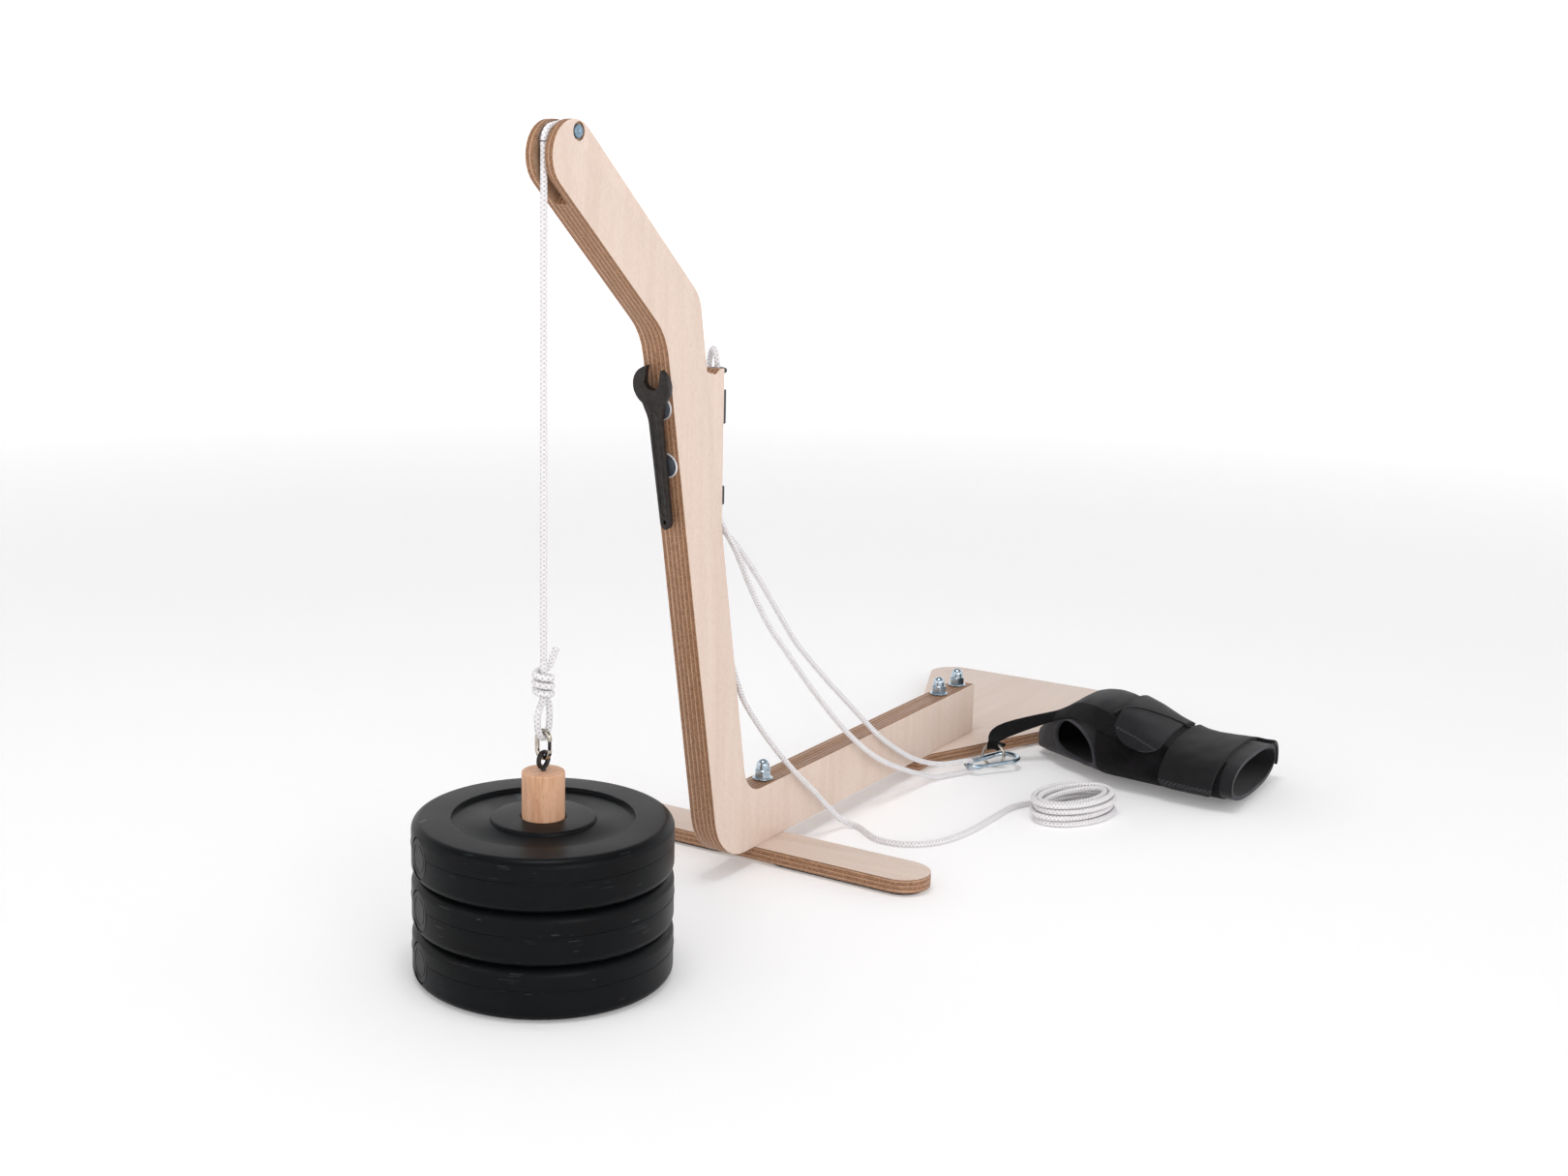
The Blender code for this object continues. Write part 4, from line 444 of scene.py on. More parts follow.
class Finishes:
    """Every finish of the trainer, each named for what it is made of."""

    # Sanded birch: the upright's figure runs up, the boards' along them; no coat, so a soft dull face
    PANEL = BirchPly("birch plywood, upright", "birch_plywood", "e2cdbf", 0.52, relief_mm=0.06)
    BOARD_X = BirchPly("birch plywood, rear board", "birch_plywood", "e0ccbf", 0.52, relief_mm=0.06,
                       across=Across.Z, middle_mm=9.0, half_mm=6.0, grain=(4.5, 44.0, 44.0))
    BOARD_Y = BirchPly("birch plywood, front board", "birch_plywood", "e0ccbf", 0.52, relief_mm=0.06,
                       across=Across.Z, middle_mm=9.0, half_mm=6.0, grain=(44.0, 4.5, 44.0))
    # Turned beech: pinker than the birch, and as bare
    CORE = Beech("beech, turned", "beech", "dcab88", 0.5, centre_mm=-304.0)
    # Vinyl shell: dark blue-black that shines softly on its rims
    PLATE = Vinyl("vinyl, blow-moulded", "plate_vinyl", "0b0e11", 0.36, ior=1.2, relief_mm=0.08, relief=0.25)
    # Bright zinc: cold and sharp, with small clouds of blue
    ZINC = Metal("zinc-plated steel", "zinc_plate", "c3ccd2", 0.24, 1.0)
    # Blue passivation gives the cross bolt its colder face
    BLUE_ZINC = Metal("zinc-plated steel, blue", "zinc_plate", "93abb9", 0.3, 1.0, tint="5f7b8e", patch_mm=4.0)
    # Nickel: warmer and glossier than the zinc
    NICKEL = Metal("nickel-plated steel", "nickel", "c9c2b8", 0.16, 1.0, tint="a89f93")
    # Black oxide is thin and dull, with brown metal showing through
    OXIDE = Metal("black oxide steel", "black_metal", "2f2927", 0.36, 0.4, tint="1d1a18", relief_mm=0.1)
    # Rubber is dull all over; the magnets' coat is smoother, so it catches a soft light
    RUBBER = Moulded("rubber, moulded", "rubber", "131315", 0.75, relief_mm=0.06)
    MAGNET = Moulded("rubber-coated magnet", "rubber", "2a303b", 0.42, relief_mm=0.04)
    # Nylon: eroded mould faces with a low shine
    RIM = Moulded("white nylon, moulded", "white_plastic", "e8e8ea", 0.4, relief_mm=0.03)
    NYLON = Moulded("black nylon, moulded", "black_plastic", "141517", 0.42)
    # Polyester braid: white, with a soft bloom and small painted shadows between its strands
    CORD = Braid("polyester braid", "white_cord", "f6f4f5", 0.8, relief_mm=0.6, relief=0.9, sheen=0.2)
    # Neoprene faced with nylon jersey: matt, with a grey bloom where it turns away; its foam shows grey when cut
    JERSEY = CuffCloth("neoprene with nylon jersey", "neoprene", "111013", 0.85, sheen=0.15, ior=1.3,
                       relief_mm=0.12, relief=0.8)
    RAW_EDGE = CuffCloth("neoprene, cut edge", "neoprene", "403e44", 0.85, sheen=0.1, ior=1.3, relief_mm=0.15,
                         relief=0.8)
    # Loop pile swallows the light, so it is the blackest cloth
    PILE = CuffCloth("nylon loop pile", "webbing", "040404", 0.95, sheen=0.03, ior=1.2, relief_mm=0.5,
                     relief=0.9, weave=Weave.PILE)
    # The straps are sewn: a groove darkened with painted shade, with pale stitches, runs beside their ends
    STRAP = CuffCloth("woven nylon on foam", "webbing", "100f11", 0.85, sheen=0.1, ior=1.3, relief_mm=0.2,
                      relief=0.8, weave=Weave.STRAP, thread_mm=1.1, hems_mm=(7.0, 9.5))
    FLAP = CuffCloth("neoprene flap, hemmed", "webbing", "121215", 0.85, sheen=0.15, ior=1.3, relief_mm=0.15,
                     relief=0.8, hems_mm=(12.0,))
    RIBBON = CuffCloth("polyester webbing", "webbing", "070708", 0.8, sheen=0.02, ior=1.25, worn="101011",
                       relief_mm=0.3, relief=0.8, weave=Weave.STRAP, thread_mm=1.4)


def add_object(name: str, data: bpy.types.ID) -> Object:
    """Add an object for a mesh, camera or lamp to the scene."""
    obj = bpy.data.objects.new(name, data)
    bpy.context.scene.collection.objects.link(obj)
    return obj


def knit(name: str, work: bmesh.types.BMesh) -> Object:
    """Turn a working mesh into a piece, and free it."""
    mesh = bpy.data.meshes.new(name)
    work.to_mesh(mesh)
    work.free()
    return add_object(name, mesh)


def only(obj: Object) -> None:
    """Select one object alone and make it active."""
    if bpy.context.object is not None and bpy.context.object.mode != "OBJECT":
        bpy.ops.object.mode_set(mode="OBJECT")
    bpy.ops.object.select_all(action="DESELECT")
    bpy.context.view_layer.objects.active = obj
    obj.select_set(True)


def settle(obj: Object) -> Object:
    """Put an object's place into its mesh and leave the object at the origin."""
    only(obj)
    bpy.ops.object.transform_apply(location=True, rotation=True, scale=True)
    return obj


def modify(obj: Object, kind: str, **settings) -> None:
    """Add a modifier with its settings and apply it."""
    step = obj.modifiers.new(kind.lower(), kind)
    for name, value in settings.items():
        setattr(step, name, value)
    only(obj)
    bpy.ops.object.modifier_apply(modifier=step.name)


def carve(obj: Object, cutter: Object, operation: str = "DIFFERENCE") -> None:
    """Cut, join or cross one closed mesh with another, which is then deleted."""
    modify(obj, "BOOLEAN", operation=operation, solver="EXACT", object=cutter, material_mode="TRANSFER")
    bpy.data.objects.remove(cutter)


def shade(obj: Object, degrees: float = 38.0) -> Object:
    """Shade smooth, keeping edges sharper than the angle."""
    only(obj)
    bpy.ops.object.shade_smooth_by_angle(angle=math.radians(degrees))
    return obj


def dress(obj: Object, finish: Finish, *nodes: str, body: Body = Body.FRAME, slot: str = "") -> Object:
    """Give a finished piece its material and body, and hide the CAD nodes it stands for.

    Args:
        obj: the piece.
        finish: its finish.
        nodes: CAD nodes it replaces.
        body: body it rides on.
        slot: material slot of the record, where it isn't the finish's own; it is not used.

    Returns:
        The piece.
    """
    slot = slot or finish.slot
    if not any(obj.data.materials):
        obj.data.materials.clear()
        obj.data.materials.append(finish.material())
    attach(obj, body.value)
    if nodes:
        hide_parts(*nodes)
    LOG.info("%s: %d faces", obj.name, len(obj.data.polygons))
    return obj


stacked = partial(dress, body=Body.STACK)


def twin(obj: Object, name: str, move: Vector) -> Object:
    """Copy a piece with its own mesh, moved by millimetres."""
    copy = add_object(name, obj.data.copy())
    copy.data.transform(Matrix.Translation(move * MM))
    return copy


def eased(node: str, name: str, width_mm: float, segments: int = 2, crease: float = 40.0) -> Object:
    """Copy a CAD node, merge its faces and ease its sharp edges.

    Args:
        node: name of the CAD node.
        name: name of the new piece.
        width_mm: width of the eased edge.
        segments: steps across the eased edge.
        crease: edges sharper than this many degrees are eased.

    Returns:
        The new piece.
    """
    obj = add_object(name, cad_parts[node].data.copy())
    obj.data.materials.clear()
    only(obj)
    bpy.ops.object.mode_set(mode="EDIT")
    bpy.ops.mesh.select_all(action="SELECT")
    bpy.ops.mesh.remove_doubles(threshold=0.00001)
    bpy.ops.mesh.dissolve_limited(angle_limit=math.radians(0.6))
    bpy.ops.object.mode_set(mode="OBJECT")
    modify(obj, "BEVEL", width=width_mm * MM, segments=segments, limit_method="ANGLE",
           angle_limit=math.radians(crease), use_clamp_overlap=True)
    return shade(obj)


def arc(across: float, up: float, radius: float, start: float, end: float, count: int) -> list[Point2]:
    """Points of an arc in a turned profile, with angles in degrees from the radial axis."""
    turns = [math.radians(start + (end - start) * k / count) for k in range(count + 1)]
    return [(across + radius * math.cos(a), up + radius * math.sin(a)) for a in turns]


def lathe(name: str, profile: Sequence[Point2], at: Union[Point3, Vector], axis: Point3 = (0, 0, 1),
          steps: int = 96, ring: bool = False) -> Object:
    """Turn a profile of (radius, height) round an axis.

    Args:
        name: the piece's name.
        profile: points from one end of the axis to the other, or a closed section.
        at: foot of the axis.
        axis: direction of the axis.
        steps: faces round the axis.
        ring: the profile is a closed section.

    Returns:
        The turned piece.
    """
    bpy.ops.object.select_all(action="DESELECT")
    bpy.ops.mesh.primitive_plane_add(size=0.002)
    obj = bpy.context.object
    obj.name = name
    bpy.ops.object.mode_set(mode="EDIT")
    bpy.ops.mesh.select_all(action="SELECT")
    bpy.ops.mesh.merge(type="CENTER")
    route = [Vector((r, 0.0, z)) * MM for r, z in profile]
    if ring:
        route.append(route[0])
    bpy.ops.transform.translate(value=route[0])
    for before, after in zip(route, route[1:]):
        bpy.ops.mesh.extrude_region_move(TRANSFORM_OT_translate={"value": after - before})
    bpy.ops.mesh.select_all(action="SELECT")
    bpy.ops.mesh.spin(steps=steps, angle=2 * math.pi, center=(0, 0, 0), axis=(0, 0, 1))
    bpy.ops.mesh.select_all(action="SELECT")
    bpy.ops.mesh.remove_doubles(threshold=0.000005)
    bpy.ops.mesh.normals_make_consistent(inside=False)
    bpy.ops.object.mode_set(mode="OBJECT")
    turn = Vector(axis).to_track_quat("Z", "Y").to_matrix().to_4x4()
    obj.matrix_world = Matrix.Translation(Vector(at) * MM) @ turn
    return settle(shade(obj))


def round_section(radius: float, wire: float, count: int = 16) -> list[Point2]:
    """Closed round section of a ring, for the lathe."""
    return arc(radius, 0.0, wire, 0.0, 360.0 - 360.0 / count, count - 1)


def prism(name: str, radius: float, height: float, at: Point3, sides: int = 6, soft: float = 0.0) -> Object:
    """Upright prism on its foot, with its edges bevelled."""
    bpy.ops.object.select_all(action="DESELECT")
    bpy.ops.mesh.primitive_cylinder_add(vertices=sides, radius=radius * MM, depth=height * MM,
                                        location=(at[0] * MM, at[1] * MM, (at[2] + height / 2) * MM))
    obj = bpy.context.object
    obj.name = name
    if soft:
        modify(obj, "BEVEL", width=soft * MM, segments=2)
    return settle(obj)


def spans(t: float) -> tuple[float, float, float, float]:
    """Weights of a smooth step's start, its slope there, its end and its slope there."""
    return (2 * t ** 3 - 3 * t ** 2 + 1, t ** 3 - 2 * t ** 2 + t, 3 * t ** 2 - 2 * t ** 3, t ** 3 - t ** 2)


def curve_through(points: Sequence[Point3], spacing: float) -> list[Vector]:
    """Evenly spaced points on the smooth curve through the given ones.

    Args:
        points: the route.
        spacing: distance between points.

    Returns:
        The points.
    """
    pts = [Vector(p) for p in points]
    ends = [pts[0] * 2 - pts[1]] + pts + [pts[-1] * 2 - pts[-2]]
    dense: list[Vector] = []
    for i in range(1, len(ends) - 2):
        p0, p1, p2, p3 = ends[i - 1:i + 3]
        t1, t2, t3 = ((b - a).length ** 0.5 for a, b in ((p0, p1), (p1, p2), (p2, p3)))
        m1 = ((p1 - p0) / t1 - (p2 - p0) / (t1 + t2) + (p2 - p1) / t2) * t2
        m2 = ((p2 - p1) / t2 - (p3 - p1) / (t2 + t3) + (p3 - p2) / t3) * t2
        for k in range(16):
            a, b, c, d = spans(k / 16)
            dense.append(p1 * a + m1 * b + p2 * c + m2 * d)
    return evenly([*dense, pts[-1]], spacing)


def evenly(points: Sequence[Vector], spacing: float) -> list[Vector]:
    """Points at an even distance along a run of points."""
    marks = [0.0]
    for a, b in zip(points, points[1:]):
        marks.append(marks[-1] + (b - a).length)
    count = max(2, round(marks[-1] / spacing))
    result, j = [], 0
    for k in range(count + 1):
        want = marks[-1] * k / count
        while j < len(points) - 2 and marks[j + 1] < want:
            j += 1
        span = marks[j + 1] - marks[j]
        result.append(points[j].lerp(points[j + 1], (want - marks[j]) / span if span else 0.0))
    return result


def run_length(points: Sequence[Vector]) -> float:
    """Length of a run of points."""
    return sum((b - a).length for a, b in zip(points, points[1:]))


def rope(name: str, points: Sequence[Vector], radius: float, sides: int = 14) -> Object:
    """Sweep a round section along a path, with U in metres along it and V round it.

    Args:
        name: the piece's name.
        points: the centre line.
        radius: radius of the section.
        sides: faces round the section.

    Returns:
        The mesh.
    """
    work = bmesh.new()
    layer = work.loops.layers.uv.new("UVMap")
    rings, marks = [], [0.0]
    side = (points[1] - points[0]).orthogonal().normalized()
    for i, point in enumerate(points):
        along = (points[min(i + 1, len(points) - 1)] - points[max(i - 1, 0)]).normalized()
        side = (side - along * side.dot(along)).normalized()
        up = along.cross(side)
        turns = [2 * math.pi * k / sides for k in range(sides)]
        rings.append([work.verts.new((point + (side * math.cos(a) + up * math.sin(a)) * radius) * MM)
                      for a in turns])
        if i:
            marks.append(marks[-1] + (point - points[i - 1]).length)
    for i in range(len(rings) - 1):
        for k in range(sides):
            m = (k + 1) % sides
            face = work.faces.new((rings[i][k], rings[i][m], rings[i + 1][m], rings[i + 1][k]))
            for loop, (j, n) in zip(face.loops, ((i, k), (i, k + 1), (i + 1, k + 1), (i + 1, k))):
                loop[layer].uv = (marks[j] * MM, n / sides)
    work.faces.new(rings[0][::-1])
    work.faces.new(rings[-1])
    return shade(knit(name, work), 60.0)


@dataclass
class PlywoodFrame:
    """Upright panel, its two boards and their rubber pads."""

    arris_mm: float = 1.0
    board_arris_mm: float = 1.4

    def build(self) -> None:
        """Ease the edges of each board and pad, and finish them."""
        panel = eased("side_panel", "upright", self.arris_mm)
        dress(panel, Finishes.PANEL, "side_panel")
        bar = eased("crossbar_foot", "front_board", self.board_arris_mm, 3)
        dress(bar, Finishes.BOARD_Y, "crossbar_foot")
        plate = eased("rear_plate", "rear_board", self.board_arris_mm, 3)
        dress(plate, Finishes.BOARD_X, "rear_plate")
        for node in ("foot_pad_near", "foot_pad_far", "rear_pad"):
            dress(eased(node, node + "_rubber", 0.5), Finishes.RUBBER, node)


@dataclass
class FrameBolts:
    """Countersunk bolts from below and the flanged cap nuts on the beam."""

    xs: tuple[float, ...] = (6.0, 346.0, 387.5)
    names: tuple[str, ...] = ("front", "rear_inner", "rear_outer")
    seat_z: float = 65.3
    flange_r: float = 8.9
    flange_h: float = 1.6
    across_flats: float = 13.0
    hex_top: float = 9.0
    dome_r: float = 5.6
    height: float = 17.5
    bolt_r: float = 4.0
    head_r: float = 8.0
    socket_r: float = 2.9
    socket_h: float = 3.6
    bolt_low_z: float = 3.15
    bolt_top_z: float = 77.0

    def nut(self) -> Object:
        """One cap nut: washer flange, hexagon with rounded crown, and dome."""
        r, dome_z = self.dome_r, self.height - self.dome_r
        profile = [(0.0, self.height), *arc(0.0, dome_z, r, 84.0, 0.0, 10), (r, self.hex_top - 1.0),
                   (r + 0.3, 2.0), (self.flange_r - 0.8, self.flange_h),
                   *arc(self.flange_r - 0.5, self.flange_h - 0.6, 0.5, 70.0, -60.0, 4),
                   (self.flange_r - 0.5, 0.0), (self.bolt_r + 0.3, 0.0), (self.bolt_r + 0.3, 12.0), (0.0, 12.2)]
        nut = lathe("cap_nut", profile, (self.xs[0], 0.0, self.seat_z), steps=64)
        corner = self.across_flats / 2 / math.cos(math.pi / 6)
        foot = (self.xs[0], 0.0, self.seat_z + self.flange_h * 0.6)
        hexagon = prism("cap_nut_hexagon", corner, self.hex_top - self.flange_h * 0.6, foot, 6, 0.25)
        crown = [(0.0, 0.0), (corner + 0.4, 0.0), (corner + 0.4, self.hex_top - 2.4),
                 (self.across_flats / 2 - 0.3, self.hex_top - 0.96), (0.0, self.hex_top - 0.96)]
        carve(hexagon, lathe("cap_nut_crown", crown, foot, steps=64), "INTERSECT")
        core = [(0.0, -1.0), (r - 0.6, -1.0), (r - 0.6, self.hex_top + 1.0), (0.0, self.hex_top + 1.0)]
        carve(hexagon, lathe("cap_nut_core", core, foot, steps=64))
        carve(nut, hexagon, "UNION")
        return shade(nut, 30.0)

    def bolt(self) -> Object:
        """One countersunk bolt with its hexagon socket."""
        low, r = self.bolt_low_z, self.bolt_r
        profile = [(0.0, self.bolt_top_z), (r - 0.6, self.bolt_top_z), (r, self.bolt_top_z - 0.8),
                   (r, low + 4.0), (self.head_r, low + 0.4), (self.head_r - 0.2, low), (0.0, low)]
        bolt = lathe("frame_bolt", profile, (self.xs[0], 0.0, 0.0), steps=48)
        carve(bolt, prism("frame_bolt_socket", self.socket_r, self.socket_h, (self.xs[0], 0.0, low - 1.0)))
        return shade(bolt, 30.0)

    def build(self) -> None:
        """Make one nut and one bolt, and copy them to their seats."""
        nut, bolt = self.nut(), self.bolt()
        for name, x in zip(self.names, self.xs):
            move = Vector((x - self.xs[0], 0.0, 0.0))
            dress(twin(nut, "nut_" + name, move), Finishes.ZINC, "cap_nut_" + name)
            dress(twin(bolt, "bolt_" + name, move), Finishes.ZINC, "frame_bolt_" + name)
        bpy.data.objects.remove(nut)
        bpy.data.objects.remove(bolt)


@dataclass
class Head:
    """Grooved roller, its axle and the cross bolt in the head of the arm."""

    roller_x: float = -293.0
    roller_z: float = 600.0
    root_r: float = 8.2
    flange_r: float = 11.4
    half_w: float = 4.2
    bore_r: float = 2.8
    axle_r: float = 2.5
    axle_half: float = 8.7
    cross_x: float = -279.6
    cross_z: float = 607.3
    cross_r: float = 3.0
    disc_r: float = 5.0
    disc_seat: float = 9.95
    disc_face: float = 11.95

    def build(self) -> None:
        """Turn the three pieces about the panel's cross axis."""
        across = (0.0, -1.0, 0.0)
        depth, w = self.flange_r - self.root_r, self.half_w
        groove = [(self.flange_r - depth * math.sin(math.pi * k / 14), (w - 0.8) * math.cos(math.pi * k / 14))
                  for k in range(15)]
        section = [(self.bore_r, w - 0.3), (self.bore_r + 0.3, w), (self.flange_r - 0.3, w),
                   (self.flange_r, w - 0.3), *groove, (self.flange_r, 0.3 - w), (self.flange_r - 0.3, -w),
                   (self.bore_r + 0.3, -w), (self.bore_r, 0.3 - w)]
        axis = (self.roller_x, 0.0, self.roller_z)
        roller = lathe("grooved_roller", section, axis, across, 72, ring=True)
        dress(roller, Finishes.NICKEL, "roller", body=Body.ROLLER)
        r, half = self.axle_r, self.axle_half
        pin = [(0.0, half), (r - 0.4, half), (r, half - 0.4), (r, 0.4 - half), (r - 0.4, -half), (0.0, -half)]
        dress(lathe("roller_pin", pin, axis, across, 48), Finishes.ZINC, "roller_axle")
        seat, face, disc = self.disc_seat, self.disc_face, self.disc_r
        half_bolt = [(0.0, face - 0.5), (1.1, face - 0.5), (1.6, face - 0.05), (disc - 1.3, face),
                     *arc(disc - 0.7, face - 0.7, 0.7, 80.0, 0.0, 5), (disc, seat), (self.cross_r, seat)]
        bolt = half_bolt + [(r, -z) for r, z in reversed(half_bolt)]
        cross = lathe("sleeve_bolt", bolt, (self.cross_x, 0.0, self.cross_z), across, 64)
        dress(cross, Finishes.BLUE_ZINC, "cross_bolt")


@dataclass
class SpannerRest:
    """Open-ended spanner on two magnets on the leading edge of the upright."""

    lean: float = math.radians(11.2)
    edge_x: float = -138.67
    edge_z: float = 308.6
    magnet_zs: tuple[float, float] = (403.0, 357.5)
    clear: float = 0.3
    magnet_r: float = 9.0
    magnet_h: float = 5.0
    magnet_side: float = 2.0
    rim_r: float = 10.2
    rim_h: float = 1.4
    spanner_t: float = 5.0
    rib_low: float = 14.0
    rib_high: float = 92.0
    rib_half: float = 3.0
    rib_wire: float = 1.1
    rib_sunk: float = 0.15
    slim: float = 0.82
    neck: Point2 = (88.0, 106.0)

    def spot(self, z: float, out: float, across: float = 0.0, up: float = 0.0) -> Vector:
        """Point off the leading edge: by height of its foot, outwards, across and along the edge."""
        front = Vector((-math.cos(self.lean), 0.0, -math.sin(self.lean)))
        rise = Vector((-math.sin(self.lean), 0.0, math.cos(self.lean)))
        foot = Vector((self.edge_x - (z - self.edge_z) * math.tan(self.lean), 0.0, z))
        return foot + front * out + rise * up + Vector((0.0, across, 0.0))

    def slim_handle(self, tool: Object) -> None:
        """Narrow the spanner's handle, with a smooth step at its neck."""
        low, high = self.neck
        foot = self.spot(self.edge_z, 0.0)
        rise = self.spot(self.edge_z, 0.0, 0.0, 1.0) - foot
        for vertex in tool.data.vertices:
            t = min(1.0, max(0.0, ((vertex.co / MM - foot).dot(rise) - low) / (high - low)))
            vertex.co.y *= self.slim + (1.0 - self.slim) * t * t * (3.0 - 2.0 * t)

    def build(self) -> None:
        """Magnets in their rims, then the spanner with the raised rib of its handle."""
        out = (-math.cos(self.lean), 0.0, -math.sin(self.lean))
        for name, z in zip(("upper", "lower"), self.magnet_zs):
            foot = self.spot(z, self.clear)
            inner = self.magnet_r + self.clear
            rim = [(inner, 0.0), (inner, self.rim_h), *arc(self.rim_r - 0.4, self.rim_h - 0.4, 0.4, 90, 0, 4),
                   (self.rim_r, 0.0)]
            dress(lathe("rim_" + name, rim, foot, out, 64, ring=True), Finishes.RIM, "magnet_rim_" + name)
            rise = self.magnet_h - self.magnet_side
            turns = [math.radians(9 * k) for k in range(11)]
            dome = [(self.magnet_r * math.sin(a), self.magnet_side + rise * math.cos(a)) for a in turns]
            magnet = lathe("magnet_dome_" + name, [*dome, (self.magnet_r, 0.0), (0.0, 0.0)], foot, out, 64)
            dress(magnet, Finishes.MAGNET, "magnet_" + name)
        tool = eased("spanner", "open_spanner", 0.7, 3)
        self.slim_handle(tool)
        dress(tool, Finishes.OXIDE, "spanner", body=Body.SPANNER)
        face = 2 * self.clear + self.magnet_h + self.spanner_t
        loop = []
        for up, start in ((self.rib_high, 0.0), (self.rib_low, 180.0)):
            for a, b in arc(0.0, up, self.rib_half, start, start + 180.0, 12):
                loop.append(self.spot(self.edge_z, face - self.rib_sunk, a, b))
        rib = rope("spanner_rib", evenly([*loop, loop[0], loop[1]], 1.5), self.rib_wire, 8)
        dress(rib, Finishes.OXIDE, body=Body.SPANNER)


@dataclass
class CleatSet:
    """Toothed cleat, the eye above it and the hoop below it, on the back of the upright."""

    face_x: float = -86.04
    guide_z: float = 425.0
    guide_r: float = 5.7
    guide_wire: float = 2.2
    screw_zs: tuple[float, float] = (374.5, 415.0)
    screw_r: float = 3.2
    screw_h: float = 1.6
    shank_r: float = 1.6
    recess: Point3 = (1.6, 3.4, 0.7)
    base_t: float = 2.0
    gap: float = 0.3

    def screw(self, name: str, z: float) -> Object:
        """Pan-head screw with its cross recess."""
        r, h = self.screw_r, self.screw_h
        head = [(0.0, h), (r * 0.45, h), (r * 0.8, h * 0.8), (r, h * 0.35), (r, 0.0), (self.shank_r, 0.0),
                (self.shank_r, -self.base_t), (0.0, -self.base_t)]
        seat = self.face_x + self.base_t + self.gap
        screw = lathe("screw_" + name, head, (seat, 0.0, z), (1.0, 0.0, 0.0), 40)
        for index, turn in enumerate((0.0, math.pi / 2)):
            bpy.ops.object.select_all(action="DESELECT")
            bpy.ops.mesh.primitive_cube_add(size=1.0)
            blade = bpy.context.object
            blade.name = f"recess_{index}"
            blade.scale = [v * MM for v in self.recess]
            blade.rotation_euler = (turn + math.pi / 4, 0.0, 0.0)
            blade.location = Vector((seat + h, 0.0, z)) * MM
            carve(screw, settle(blade))
        return shade(screw, 30.0)

    def build(self) -> None:
        """Ease the moulded pieces, turn the eye and drive the screws."""
        dress(eased("cleat", "toothed_cleat", 0.25), Finishes.NYLON, "cleat")
        dress(eased("lower_fairlead", "cord_hoop", 0.9, 3), Finishes.NYLON, "lower_fairlead")
        eye = lathe("cord_eye", round_section(self.guide_r, self.guide_wire, 20),
                    (self.face_x + self.guide_r + self.guide_wire, 0.0, self.guide_z), steps=64, ring=True)
        dress(eye, Finishes.NYLON, "tail_guide")
        for name, z in zip(("low", "high"), self.screw_zs):
            dress(self.screw(name, z), Finishes.ZINC, "cleat_screw_" + name)


